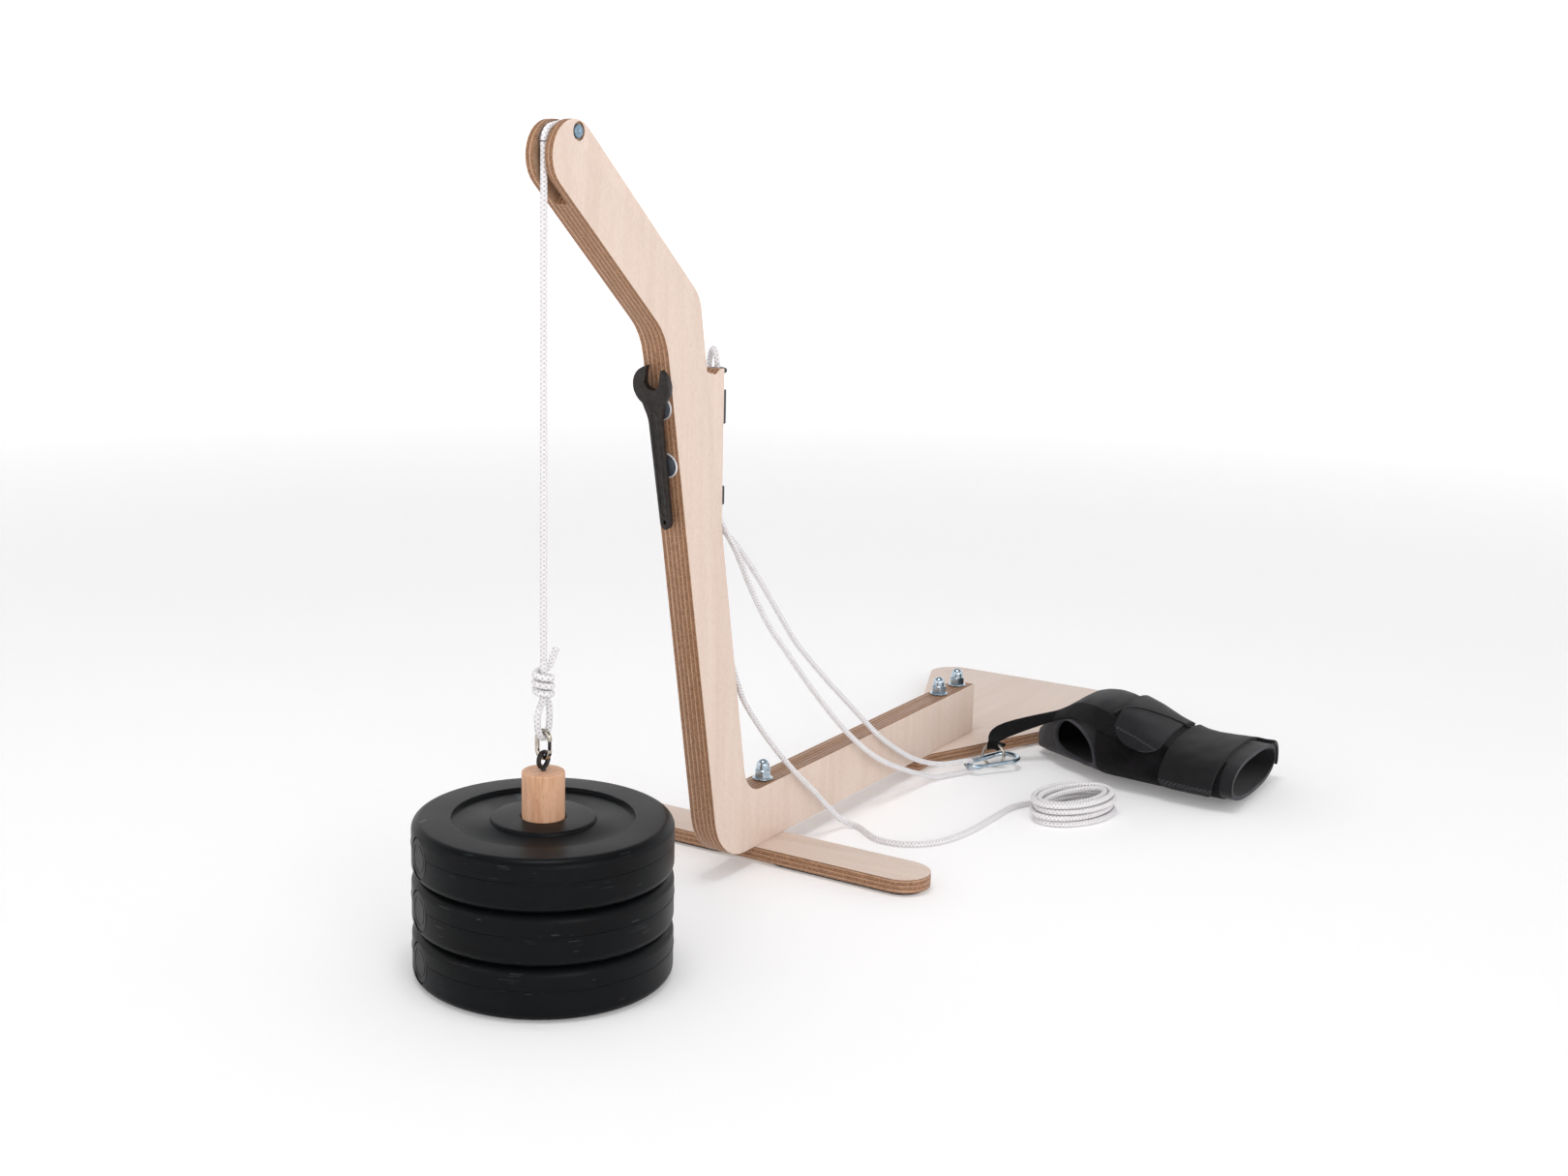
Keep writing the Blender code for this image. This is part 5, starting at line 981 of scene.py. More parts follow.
@dataclass
class WeightStack:
    """Three vinyl plates on a beech core, with the eye and snap ring on top."""

    x: float = -304.0
    plate_r: float = 96.0
    plate_t: float = 39.0
    pitch: float = 39.3
    bore_r: float = 16.6
    hub_r: float = 39.0
    dish_r: float = 68.0
    dish_deep: float = 2.8
    foot_deep: float = 6.0
    rim_round: float = 7.0
    seam_z: float = 22.5
    plug_r: float = 15.0
    plug_t: float = 6.0
    plug_hole: float = 9.0
    plug_face: float = 95.0
    plug_turn: float = math.radians(149.0)
    core_r: float = 15.8
    core_top: float = 151.9
    pilot_r: float = 2.8
    washer_r: float = 32.0
    washer_z: float = 1.5
    eye_z: float = 160.3
    eye_r: float = 5.5
    eye_wire: float = 1.8
    snap_z: float = 171.9
    snap_half_w: float = 5.6
    snap_half_h: float = 10.0
    snap_wire: float = 1.8
    gate_r: float = 1.3
    gap: float = 0.3

    def plate_profile(self) -> list[Point2]:
        """Section of a plate: raised hub, dish, rim with a mould seam, and hollow foot."""
        r, t, soft = self.plate_r, self.plate_t, self.rim_round
        floor = t - self.dish_deep
        hub = self.hub_r
        return [
            (self.bore_r, t - 0.8), (self.bore_r + 0.8, t), *arc(hub - 1.8, t - 1.4, 1.4, 90.0, 12.0, 5),
            (hub, floor + 0.3), (hub + 0.5, floor), (self.dish_r - 1.6, floor),
            (self.dish_r - 1.2, floor + 0.3), (self.dish_r - 0.7, t - 0.4), (self.dish_r - 0.1, t),
            *arc(r - soft, t - soft, soft, 90.0, 0.0, 10),
            (r, self.seam_z + 0.5), (r + 0.35, self.seam_z + 0.15), (r + 0.35, self.seam_z - 0.15),
            (r - 0.1, self.seam_z - 0.5),
            *arc(r - soft, soft, soft, 0.0, -90.0, 10),
            (self.dish_r, 0.0), (self.dish_r - 0.8, 0.6), (self.dish_r - 2.0, self.foot_deep),
            (self.bore_r + 0.6, self.foot_deep), (self.bore_r, self.foot_deep + 0.6),
        ]

    def plates(self) -> None:
        """One plate with its plug hole, and one plug, copied up the stack."""
        low = self.gap
        out = Vector((math.cos(self.plug_turn), math.sin(self.plug_turn), 0.0))
        plate = lathe("plate", self.plate_profile(), (self.x, 0.0, low), steps=160, ring=True)
        middle = Vector((self.x, 0.0, low + self.plate_t / 2))
        wide = self.plug_r + self.gap
        hole = [(0.0, 0.0), (wide, 0.0), (wide, self.plug_hole), (0.0, self.plug_hole)]
        depth = self.plug_face - self.plug_t - self.gap
        carve(plate, lathe("plug_hole", hole, middle + out * depth, tuple(out), 64))
        r, soft = self.plug_r, 1.0
        cap = [(0.0, 0.0), (r - 5.4, 0.0), (r - 5.0, -0.35), (r - 4.4, -0.35), (r - 4.0, 0.0),
               *arc(r - soft, -soft, soft, 90.0, 0.0, 5), (r, -self.plug_t), (0.0, -self.plug_t)]
        plug = lathe("plug", cap, middle + out * self.plug_face, tuple(out), 64)
        for index in range(3):
            move = Vector((0.0, 0.0, index * self.pitch))
            name = str(index + 1)
            stacked(shade(twin(plate, "plate_" + name, move), 32.0), Finishes.PLATE, "weight_plate_" + name)
            stacked(shade(twin(plug, "plug_" + name, move)), Finishes.PLATE, "plate_plug_" + name)
        bpy.data.objects.remove(plate)
        bpy.data.objects.remove(plug)

    def core(self) -> None:
        """Beech core with its drilled end, and the washer and screw that carry the plates."""
        r, top, low = self.core_r, self.core_top + 0.3, self.foot_deep
        eye_hole = self.eye_wire + self.gap
        pilot = self.pilot_r
        profile = [(0.0, top - 17.0), (eye_hole, top - 16.0), (eye_hole, top), (r - 1.6, top),
                   *arc(r - 1.4, top - 1.4, 1.4, 80.0, 0.0, 5), (r, low + 1.3), (r - 1.0, low + 0.3),
                   (pilot, low + 0.3), (pilot, low + 22.0), (0.0, low + 23.0)]
        stacked(lathe("core_dowel", profile, (self.x, 0.0, 0.0)), Finishes.CORE, "stack_core")
        z0, z1, edge = self.washer_z, self.foot_deep, self.washer_r
        washer = [(pilot, z1), (edge - 0.5, z1), (edge, z1 - 0.5), (edge, z0 + 0.5), (edge - 0.5, z0),
                  (6.0, z0), (pilot, z0 + 2.2)]
        stacked(lathe("carrier_washer", washer, (self.x, 0.0, 0.0), ring=True), Finishes.ZINC, "core_washer")
        screw = [(0.0, z1 + 20.0), (2.5, z1 + 18.0), (2.5, z0 + 2.1), (5.0, z0), (1.6, z0), (1.2, z0 + 1.2),
                 (0.0, z0 + 1.2)]
        stacked(lathe("carrier_screw", screw, (self.x, 0.0, -0.1), steps=48), Finishes.ZINC, "washer_screw")

    def eye(self) -> None:
        """Black screw eye in the end of the core."""
        points = [Vector((self.x, 0.0, self.core_top - 15.0)),
                  Vector((self.x, 0.0, self.eye_z - self.eye_r - 1.2))]
        points += [Vector((self.x + a, 0.0, self.eye_z + b)) for a, b in arc(0, 0, self.eye_r, -62, 240, 48)]
        stacked(rope("screw_eye", points, self.eye_wire, 16), Finishes.OXIDE, "core_eye")

    def snap(self) -> None:
        """Oval snap ring and its gate."""
        w, half = self.snap_half_w, self.snap_half_h - self.snap_half_w
        stub = half - 1.0
        outline = [(-w, stub), *arc(0.0, half, w, 180.0, 0.0, 24), *arc(0.0, -half, w, 0.0, -180.0, 24),
                   (-w, -stub)]
        path = [Vector((self.x, a, self.snap_z + b)) for a, b in outline]
        stacked(rope("snap_oval", path, self.snap_wire, 16), Finishes.NICKEL, "snap_ring")
        reach = half - 1.0 - self.gap
        foot = (self.x, -w, self.snap_z - reach)
        tube = [(0.0, 0.0), (self.gate_r - 0.2, 0.0), (self.gate_r, 0.3), (self.gate_r, 2 * reach - 0.3),
                (self.gate_r - 0.2, 2 * reach), (0.0, 2 * reach)]
        dress(lathe("snap_sleeve", tube, foot, steps=32), Finishes.OXIDE, "snap_gate", body=Body.SNAP_GATE)

    def build(self) -> None:
        """Build the whole stack."""
        self.plates()
        self.core()
        self.eye()
        self.snap()


@dataclass
class Rope:
    """The one white cord, in its stretches from the weights to the hank."""

    radius: float = 2.5
    stack_x: float = -304.0
    knot_top: float = 235.1
    knot_low: float = 208.4
    drop_top: float = 599.7
    knot_turns: int = 3
    knot_pitch: float = 5.9
    knot_r: float = 6.0
    loop_low: float = 177.0
    hank_at: Point2 = (255.0, -184.0)
    hank_turn: float = math.radians(-20.0)
    hank_half: Point2 = (47.0, 29.0)
    hank_step: float = 6.1
    hank_rise: float = 5.7
    squeeze: float = 0.1765
    gap: float = 0.3

    # Over the roller and the cross bolt, down the channel and out to the hoop
    OVER = (
        (-304.00, 0.00, 600.30), (-303.74, 0.00, 602.38), (-302.97, 0.00, 604.65), (-301.73, 0.00, 606.70),
        (-300.07, 0.00, 608.43), (-298.08, 0.00, 609.76), (-295.85, 0.00, 610.63), (-293.48, 0.00, 610.99),
        (-279.80, 0.00, 613.10), (-277.81, 0.00, 612.82), (-276.03, 0.00, 611.87), (-254.92, 0.00, 591.16),
        (-134.46, 0.00, 489.00), (-131.55, 0.00, 486.09), (-129.18, 0.00, 482.73), (-127.40, 0.00, 479.03),
        (-126.27, 0.00, 475.07), (-104.67, 0.00, 366.00), (-102.08, -0.30, 354.73), (-99.59, -0.49, 350.12),
        (-94.62, -0.82, 345.86), (-87.79, -1.46, 343.08), (-85.42, -1.80, 341.57), (-83.90, -2.35, 338.71),
        (-83.00, -3.10, 333.00), (-83.00, -3.10, 328.30),
    )
    # From the hoop out to the carabiner
    OUT = (
        (-83.0, -3.1, 328.0), (-82.9, -3.1, 320.0), (-80.8, -3.2, 312.0), (-75.0, -3.3, 303.5),
        (-50.0, -3.9, 273.5), (-27.2, -4.5, 239.3), (-3.4, -6.0, 207.0), (31.8, -8.0, 170.6),
        (81.3, -12.5, 120.5), (128.0, -19.0, 77.0), (172.9, -24.0, 45.8), (213.0, -28.0, 26.5),
        (250.0, -31.0, 11.5), (275.0, -35.0, 3.6), (289.0, -41.0, 2.9),
    )
    # Back from the carabiner, through the hoop and up into the cleat
    BACK = (
        (296.0, -43.3, 14.0), (283.0, -36.5, 14.6), (266.0, -29.0, 19.0), (245.0, -24.0, 27.6),
        (215.0, -21.0, 44.0), (183.0, -18.5, 64.5), (152.8, -12.0, 91.6), (94.3, -5.0, 141.2),
        (55.1, -1.0, 176.9), (34.1, 1.0, 201.0), (-8.7, 2.2, 247.5), (-44.0, 3.0, 281.0),
        (-75.0, 3.1, 303.5), (-80.8, 3.1, 312.0), (-82.9, 3.1, 320.0), (-83.0, 3.1, 329.0),
        (-82.0, 2.6, 343.0), (-79.6, 1.2, 360.0), (-78.5, 0.3, 374.0), (-78.5, 0.0, 384.0),
        (-78.5, 0.0, 410.0), (-78.3, 0.0, 418.0),
    )
    # Free end from the cleat's eye down to the floor
    TAIL = (
        (-78.3, 0.0, 418.5), (-78.3, 0.0, 431.0), (-76.4, 2.6, 438.5), (-72.6, 7.5, 441.5),
        (-69.6, 12.0, 437.0), (-69.5, 13.5, 425.0), (-71.0, 13.5, 400.0), (-72.5, 13.5, 350.0),
        (-71.0, 13.0, 300.0), (-65.0, 10.5, 250.0), (-57.0, 4.5, 205.0), (-46.5, -2.5, 169.3),
        (-36.8, -4.0, 148.0), (-19.0, -6.0, 124.7), (4.1, -11.0, 96.8), (31.3, -18.0, 67.1),
        (60.0, -22.0, 42.0), (84.0, -25.5, 20.0), (100.0, -30.0, 6.0), (104.0, -42.0, 2.8),
        (94.0, -56.0, 2.8), (85.0, -70.0, 2.8), (84.0, -88.0, 2.8), (94.0, -107.0, 2.8),
        (115.0, -121.0, 2.8), (146.0, -128.0, 2.8), (198.0, -130.5, 2.8), (232.0, -131.5, 2.8),
        (252.0, -138.0, 2.8),
    )

    def knot_path(self) -> list[Vector]:
        """Free end, three turns round the standing part, the loop, and up the middle."""
        low, w = self.knot_low, 6.5
        top = low + self.knot_turns * self.knot_pitch
        coil = []
        for k in range(self.knot_turns * 12 + 1):
            angle = math.radians(30.0 + 30.0 * k)
            coil.append((self.knot_r * math.cos(angle), self.knot_r * math.sin(angle),
                         top - self.knot_pitch * k / 12))
        tail = [(15.66, 0.0, top + 15.0), (12.96, 1.0, top + 9.0), (9.5, 1.4, top + 3.0)]
        bottom = self.loop_low
        loop = [(w + 1.6, 1.8, low - 6.5), (w + 1.2, 0.3, low - 14.0), (w * 0.8, 0.0, bottom + 4.0),
                (0.0, 0.0, bottom), (-w * 0.8, 0.0, bottom + 4.0), (-w - 0.6, 0.0, low - 15.0),
                (-w * 0.75, 0.0, low - 9.0), (-1.4, 0.0, low - 4.5), (0.0, 0.0, low + 1.0),
                (0.0, 0.0, top + 3.0), (0.0, 0.0, top + 9.0)]
        return curve_through([(self.stack_x + x, y, z) for x, y, z in tail + coil + loop], 1.5)

    def hank_path(self) -> list[Vector]:
        """Oval loops in four layers that spiral in and out, with a straight lead at each end."""
        loops, layers, per_loop = 2, 4, 48
        c, s = math.cos(self.hank_turn), math.sin(self.hank_turn)
        points = []
        for k in range(loops * layers * per_loop + 1):
            turns = k / per_loop
            layer = min(int(turns // loops), layers - 1)
            within = turns - layer * loops
            inward = within if layer % 2 == 0 else loops - within
            climb = 0.0
            if within < 0.25 and layer > 0:
                climb = 2 * (within - 0.25)
            if within > loops - 0.25 and layer < layers - 1:
                climb = 2 * (within - loops + 0.25)
            angle = math.radians(63.0) - 2 * math.pi * turns
            x = (self.hank_half[0] - inward * self.hank_step) * math.cos(angle)
            y = (self.hank_half[1] - inward * self.hank_step) * math.sin(angle)
            height = self.radius + self.gap + (layer + climb) * self.hank_rise
            points.append(Vector((self.hank_at[0] + x * c - y * s, self.hank_at[1] + x * s + y * c, height)))
        reach = 2 * self.radius
        start = (points[0] - points[1]).normalized() * reach
        end = (points[-1] - points[-2]).normalized() * reach
        return [points[0] + start, *points, points[-1] + end]

    def round_carabiner(self) -> list[Vector]:
        """Half a turn round the carabiner's small end."""
        hook = Carabiner()
        place = hook.place()
        wire = place @ Vector((hook.wire_r - hook.length / 2, 0.0, 0.0))
        along = (place.to_3x3() @ Vector((1.0, 0.0, 0.0))).normalized()
        reach = hook.wire_r + self.radius + self.gap
        return [wire + along * a + Vector((0, 0, b)) for a, b in arc(0.0, 0.0, reach, -90.0, 90.0, 6)]

    def lay(self, name: str, points: Sequence[Vector], exit_at: Point3, far_end: str, lay: str,
            *nodes: str) -> Object:
        """Args:
            name: the piece's name.
            points: its centre line.
            exit_at: where it leaves the frame; it is not used.
            far_end: what its far end is; it is not used.
            lay: how it lies; it is not used.
            nodes: CAD nodes it replaces.

        Returns:
            The piece.
        """
        obj = dress(rope(name, points, self.radius), Finishes.CORD, *nodes)
        LOG.info("%s: %.0f mm of cord", name, run_length(points))
        return obj

    def build(self) -> None:
        """Sweep every stretch and put each on its body."""
        bend = self.round_carabiner()
        user = curve_through([*self.OUT, *[tuple(p) for p in bend], *self.BACK], 3.0)
        self.lay("user_cord", user, self.OUT[0], "object", "loose", "cord_user")
        hank = self.hank_path()
        lead = (hank[0] - hank[1]).normalized()
        tail = curve_through([*self.TAIL, tuple(hank[0] + lead * 16.0), tuple(hank[0] + lead * 8.0)], 4.0)
        self.lay("spare_cord", [*tail, *hank], self.TAIL[0], "bare", "coiled", "cord_tail", "cord_hank")
        drop = [Vector((self.stack_x, 0.0, self.knot_top + self.gap)), Vector((self.stack_x, 0.0, self.drop_top))]
        cord = dress(rope("drop_cord", evenly(drop, 6.0), self.radius), Finishes.CORD, "cord_drop")
        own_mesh(cord)
        over = evenly([Vector(p) for p in self.OVER], 3.0)
        dress(rope("frame_cord", over, self.radius), Finishes.CORD, "cord_over_frame")
        stacked(rope("knot", self.knot_path(), self.radius), Finishes.CORD, "cord_knot")


@dataclass
class Carabiner:
    """Zinc snap hook that joins the cord to the cuff, its gate, and the cuff's ring."""

    at: Point3 = (337.0, -64.5, 9.6)
    turn: float = math.radians(-27.3)
    tilt: float = math.radians(-2.6)
    length: float = 63.0
    small_r: float = 8.5
    big_r: float = 13.5
    wire_r: float = 2.5
    gate_r: float = 2.0
    hinge_clear: float = 1.8
    nose_clear: float = 1.2
    ring_at: Point3 = (346.9, -61.4, 12.7)
    ring_r: float = 10.9
    ring_wire: float = 1.5
    ring_turn: float = math.radians(10.0)

    def place(self) -> Matrix:
        """Place of the hook: its length along X and its nose end at -X."""
        return (Matrix.Translation(Vector(self.at)) @ Matrix.Rotation(self.turn, 4, "Z")
                @ Matrix.Rotation(self.tilt, 4, "Y"))

    def build(self) -> None:
        """Sweep the hook, turn the gate, and turn the ring."""
        place, half = self.place(), self.length / 2 - self.wire_r
        small = arc(self.small_r - half, 0.0, self.small_r, 280.0, 80.0, 30)
        big = arc(half - self.big_r, 0.0, self.big_r, 80.0, -80.0, 30)
        path = [place @ Vector((x, y, 0.0)) for x, y in [*small, *big]]
        dress(rope("snap_hook", path, self.wire_r, 18), Finishes.ZINC, "carabiner")
        nose, hinge = path[0], path[-1]
        run = (nose - hinge).normalized()
        reach = (nose - hinge).length - self.hinge_clear - self.nose_clear
        r = self.gate_r
        gate = [(0.0, 0.0), (r - 0.4, 0.0), (r, 0.4), (r, reach - 3.0), (r - 0.5, reach - 2.6),
                (r - 0.5, reach - 1.6), (r, reach - 1.2), (r, reach - 0.3), (r - 0.3, reach), (0.0, reach)]
        bar = lathe("hook_gate", gate, hinge + run * self.hinge_clear, tuple(run), 36)
        dress(bar, Finishes.ZINC, "carabiner_gate", body=Body.CARABINER_GATE)
        axis = (math.cos(self.ring_turn), math.sin(self.ring_turn), 0.0)
        ring = lathe("cuff_ring", round_section(self.ring_r, self.ring_wire, 18), self.ring_at, axis, 72, True)
        dress(ring, Finishes.NICKEL, "link_ring")


@dataclass
class AnkleCuff:
    """Neoprene ankle cuff lying on its side, with its pile panel, flap and straps."""

    wall: float = 4.0
    floor: float = 4.5
    bulge: float = 0.82
    strap_t: float = 3.0
    ribbon_t: float = 2.6
    lift: float = 1.2
    hole_at: Point2 = (-138.0, 30.0)
    hole_half: Point3 = (27.5, 23.0, 14.0)
    hole_tilt: float = 0.12
    hole_square: float = 0.8
    rim_r: float = 2.0
    welt_r: float = 1.9
    ribbon_w: float = 24.0
    ribbon_fold_w: float = 11.0
    ribbon_girth: float = 45.0
    flap_lift: float = 4.4

    STATIONS = (
        # y, centre x, half width, height of the top
        (-78.0, 429.0, 10.0, 27.0), (-92.0, 426.0, 24.0, 42.0), (-113.0, 420.0, 36.0, 58.5),
        (-140.0, 411.0, 47.0, 75.5), (-165.0, 402.5, 55.5, 80.0), (-197.0, 399.5, 55.5, 70.0),
        (-235.0, 402.0, 58.0, 51.0), (-262.0, 404.5, 61.5, 47.0), (-302.0, 407.0, 66.0, 46.0),
    )
    WELT = (
        # y, degrees round the cuff, lift of the rolled edge behind the flap
        (-178.0, 128.0, 0.5), (-183.0, 116.0, 2.6), (-192.0, 103.0, 3.6), (-206.0, 92.0, 4.0),
        (-221.0, 84.0, 4.0), (-234.0, 80.0, 3.4), (-241.0, 82.0, 1.0),
    )
    RIBBON = (
        # y, degrees round the cuff
        (-101.0, 130.0), (-114.0, 134.0), (-130.0, 138.0), (-148.0, 143.0), (-168.0, 146.0), (-190.0, 148.0),
    )

    def section(self, y: float) -> Point3:
        """Centre x, half width and height of the top at a place along the leg."""
        rows = self.STATIONS
        y = max(rows[-1][0], min(rows[0][0], y))
        i = next(k for k in range(len(rows) - 1) if y >= rows[k + 1][0])
        before, a, b = rows[max(i - 1, 0)], rows[i], rows[i + 1]
        after = rows[min(i + 2, len(rows) - 1)]
        span = b[0] - a[0]
        start, leave, end, arrive = spans((y - a[0]) / span)
        result = []
        for k in (1, 2, 3):
            slope_a = (b[k] - before[k]) / (b[0] - before[0]) * span
            slope_b = (after[k] - a[k]) / (after[0] - a[0]) * span
            result.append(a[k] * start + slope_a * leave + b[k] * end + slope_b * arrive)
        return (result[0], result[1], result[2])

    def spot(self, y: float, degrees: float, lift: float) -> Vector:
        """Point over the cuff: place along the leg, degrees from +X over the top, and lift."""
        centre, half, top = self.section(y)
        turn = math.radians(degrees)
        c, s = math.cos(turn), math.sin(turn)
        crease = noise.noise(Vector((y * 0.03, c * 1.6, s * 1.6))) * 1.1
        crease += noise.noise(Vector((y * 0.09 + 7.0, c * 3.0, s * 3.0))) * 0.5
        lift += crease * (0.25 if s < -0.3 else 1.0) - 0.3
        x = centre + (half + lift) * math.copysign(abs(c) ** self.bulge, c)
        z = (top + self.floor) / 2 + ((top - self.floor) / 2 + lift) * math.copysign(abs(s) ** self.bulge, s)
        return Vector((x, y, max(z, 0.6)))

    def cloth(self, name: str, rows: Sequence[Sequence[Vector]], thickness: float,
              hems: Sequence[Sequence[float]] = (), soft: float = 0.6) -> Object:
        """Sheet through rows of points, with UV in metres, thickened inwards and softened.

        Args:
            name: the piece's name.
            rows: points of the outer face.
            thickness: thickness of the cloth.
            hems: distance of each point from the cloth's edge.
            soft: rounding of its cut edges.

        Returns:
            The closed mesh.
        """
        work = bmesh.new()
        layer = work.loops.layers.uv.new("UVMap")
        edge = work.verts.layers.float.new("hem")
        grid = [[work.verts.new(p * MM) for p in row] for row in rows]
        for i, row in enumerate(hems):
            for k, value in enumerate(row):
                grid[i][k][edge] = value * MM
        middle = len(rows) // 2
        across = [0.0]
        for a, b in zip(rows[middle], rows[middle][1:]):
            across.append(across[-1] + (b - a).length * MM)
        down = [0.0]
        for a, b in zip(rows, rows[1:]):
            down.append(down[-1] + (b[len(b) // 2] - a[len(a) // 2]).length * MM)
        for i in range(len(grid) - 1):
            for k in range(len(grid[0]) - 1):
                face = work.faces.new((grid[i][k], grid[i][k + 1], grid[i + 1][k + 1], grid[i + 1][k]))
                for loop, (m, n) in zip(face.loops, ((i, k), (i, k + 1), (i + 1, k + 1), (i + 1, k))):
                    loop[layer].uv = (across[n], down[m])
        obj = knit(name, work)
        modify(obj, "SOLIDIFY", thickness=thickness * MM, offset=-1.0, use_even_offset=True)
        if soft:
            modify(obj, "BEVEL", width=soft * MM, segments=2, limit_method="ANGLE",
                   angle_limit=math.radians(55.0))
        return shade(obj, 50.0)

    def patch(self, name: str, ys: Point2, turns: Point2, lift: float, thickness: float,
              corners: tuple[float, float, float, float] = (0.0, 0.0, 0.0, 0.0), slant: float = 0.0,
              across: int = 26, around: int = 70) -> Object:
        """Band round the cuff whose corners may be rounded.

        Args:
            name: the piece's name.
            ys: its two sides along the leg.
            turns: degrees where it starts and ends.
            lift: height of its outer face over the cuff.
            thickness: thickness of the cloth.
            corners: corner radii: first side at start and end, second side at start and end.
            slant: shift along the leg for each 50 mm of height.
            across: faces across the band.
            around: faces along it.

        Returns:
            The band.
        """
        y0, y1 = ys
        rows, hems = [], []
        marks = [turns[0] + (turns[1] - turns[0]) * k / around for k in range(around + 1)]
        ruler = [0.0]
        for a, b in zip(marks, marks[1:]):
            middle = (y0 + y1) / 2
            ruler.append(ruler[-1] + (self.spot(middle, b, lift) - self.spot(middle, a, lift)).length)
        total = ruler[-1]
        for i in range(across + 1):
            row, hem = [], []
            for k, turn in enumerate(marks):
                sides = [y0, y1]
                for side, (start_r, end_r) in enumerate((corners[:2], corners[2:])):
                    for radius, reach in ((start_r, ruler[k]), (end_r, total - ruler[k])):
                        if radius > reach:
                            cut = radius - math.sqrt(max(radius ** 2 - (radius - reach) ** 2, 0.0))
                            sides[side] += cut * (math.copysign(1.0, y1 - y0) if side == 0
                                                  else -math.copysign(1.0, y1 - y0))
                y = sides[0] + (sides[1] - sides[0]) * i / across
                point = self.spot(y, turn, lift)
                shift = -slant * (point.z / 50.0 - 0.5)
                row.append(point + Vector((0.0, shift, 0.0)))
                hem.append(min(ruler[k], total - ruler[k]))
            rows.append(row)
            hems.append(hem)
        if y1 > y0:
            rows, hems = rows[::-1], hems[::-1]
        return self.cloth(name, rows, thickness, hems)

    def around_hole(self, turn: float) -> Point2:
        """Place along the leg and height of a point on the edge of the foot opening."""
        c, s = math.cos(turn), math.sin(turn)
        along = self.hole_half[0] * math.copysign(abs(c) ** self.hole_square, c)
        height = self.hole_half[1 if s > 0 else 2] * math.copysign(abs(s) ** self.hole_square, s)
        return (self.hole_at[0] + along, self.hole_at[1] + height + self.hole_tilt * along)

    def opening(self) -> list[Vector]:
        """Edge of the foot opening on the near side of the tube."""
        edge = []
        for k in range(64):
            y, z = self.around_hole(2 * math.pi * k / 64)
            top = self.section(y)[2]
            rise = (z - (top + self.floor) / 2) / ((top - self.floor) / 2)
            sine = math.copysign(min(abs(rise), 0.99) ** (1 / self.bulge), rise)
            edge.append(self.spot(y, 180.0 - math.degrees(math.asin(sine)), 0.0))
        return edge

    def body(self) -> None:
        """Tube of neoprene with its foot opening and pale cut edges."""
        first, last = self.STATIONS[0][0], self.STATIONS[-1][0]
        rows = []
        for i in range(91):
            y = first + (last - first) * i / 90
            rows.append([self.spot(y, 360.0 * k / 110, 0.0) for k in range(111)])
        tube = self.cloth("neoprene_tube", rows, self.wall, soft=0.0)
        only(tube)
        bpy.ops.object.mode_set(mode="EDIT")
        bpy.ops.mesh.select_all(action="SELECT")
        bpy.ops.mesh.remove_doubles(threshold=0.00002)
        bpy.ops.object.mode_set(mode="OBJECT")
        tube.data.materials.append(Finishes.JERSEY.material())
        tube.data.materials.append(Finishes.RAW_EDGE.material())
        outline = self.opening()
        x_low, x_high = min(p.x for p in outline) - 30.0, self.section(self.hole_at[0])[0]
        cutter = lathe("foot_opening", [(0.0, x_low), (1.0, x_low), (1.0, x_high), (0.0, x_high)], (0, 0, 0),
                       (1.0, 0.0, 0.0), len(outline))
        for vertex in cutter.data.vertices:
            if math.hypot(vertex.co.y, vertex.co.z) > 0.5 * MM:
                y, z = self.around_hole(math.atan2(vertex.co.z, vertex.co.y))
                vertex.co = Vector((vertex.co.x, y * MM, z * MM))
            else:
                vertex.co = Vector((vertex.co.x, self.hole_at[0] * MM, self.hole_at[1] * MM))
        cutter.data.materials.append(Finishes.RAW_EDGE.material())
        carve(tube, cutter)
        ends = (first * MM, last * MM)
        for face in tube.data.polygons:
            if abs(face.normal.y) > 0.9 and min(abs(face.center.y - e) for e in ends) < 0.0005:
                face.material_index = 1
        dress(shade(tube, 40.0), Finishes.JERSEY, "cuff_body")
        ring = rope("foot_rim", evenly([*outline, *outline[:2]], 2.5), self.rim_r, 10)
        dress(ring, Finishes.RAW_EDGE)

    def straps(self) -> None:
        """Pile panel, calf strap with its under layer, instep flap and its hem."""
        pile = self.patch("pile_panel", (-166.0, -290.0), (128.0, 236.0), 1.0, 0.9, (16.0, 10.0, 0.0, 0.0))
        dress(pile, Finishes.PILE)
        outer = self.lift + self.strap_t
        calf = self.patch("calf_band", (-232.0, -284.0), (-20.0, 208.0), outer, self.strap_t,
                          (6.0, 14.0, 6.0, 3.0), 8.0, 30, 120)
        dress(calf, Finishes.STRAP, "calf_strap")
        flap = self.patch("instep_flap", (-184.0, -229.0), (35.0, 166.0), self.flap_lift, self.strap_t,
                          (6.0, 17.0, 6.0, 26.0), 0.0, 30, 80)
        dress(flap, Finishes.FLAP, "instep_strap")
        welt = curve_through([tuple(self.spot(y, turn, lift)) for y, turn, lift in self.WELT], 2.5)
        dress(rope("instep_welt", welt, self.welt_r, 10), Finishes.JERSEY, slot="webbing")
        lip = self.patch("overlap_lip", (-262.0, -303.5), (-18.0, 42.0), self.wall + 0.4, self.wall - 0.6,
                         (14.0, 14.0, 0.0, 2.0))
        dress(lip, Finishes.JERSEY)

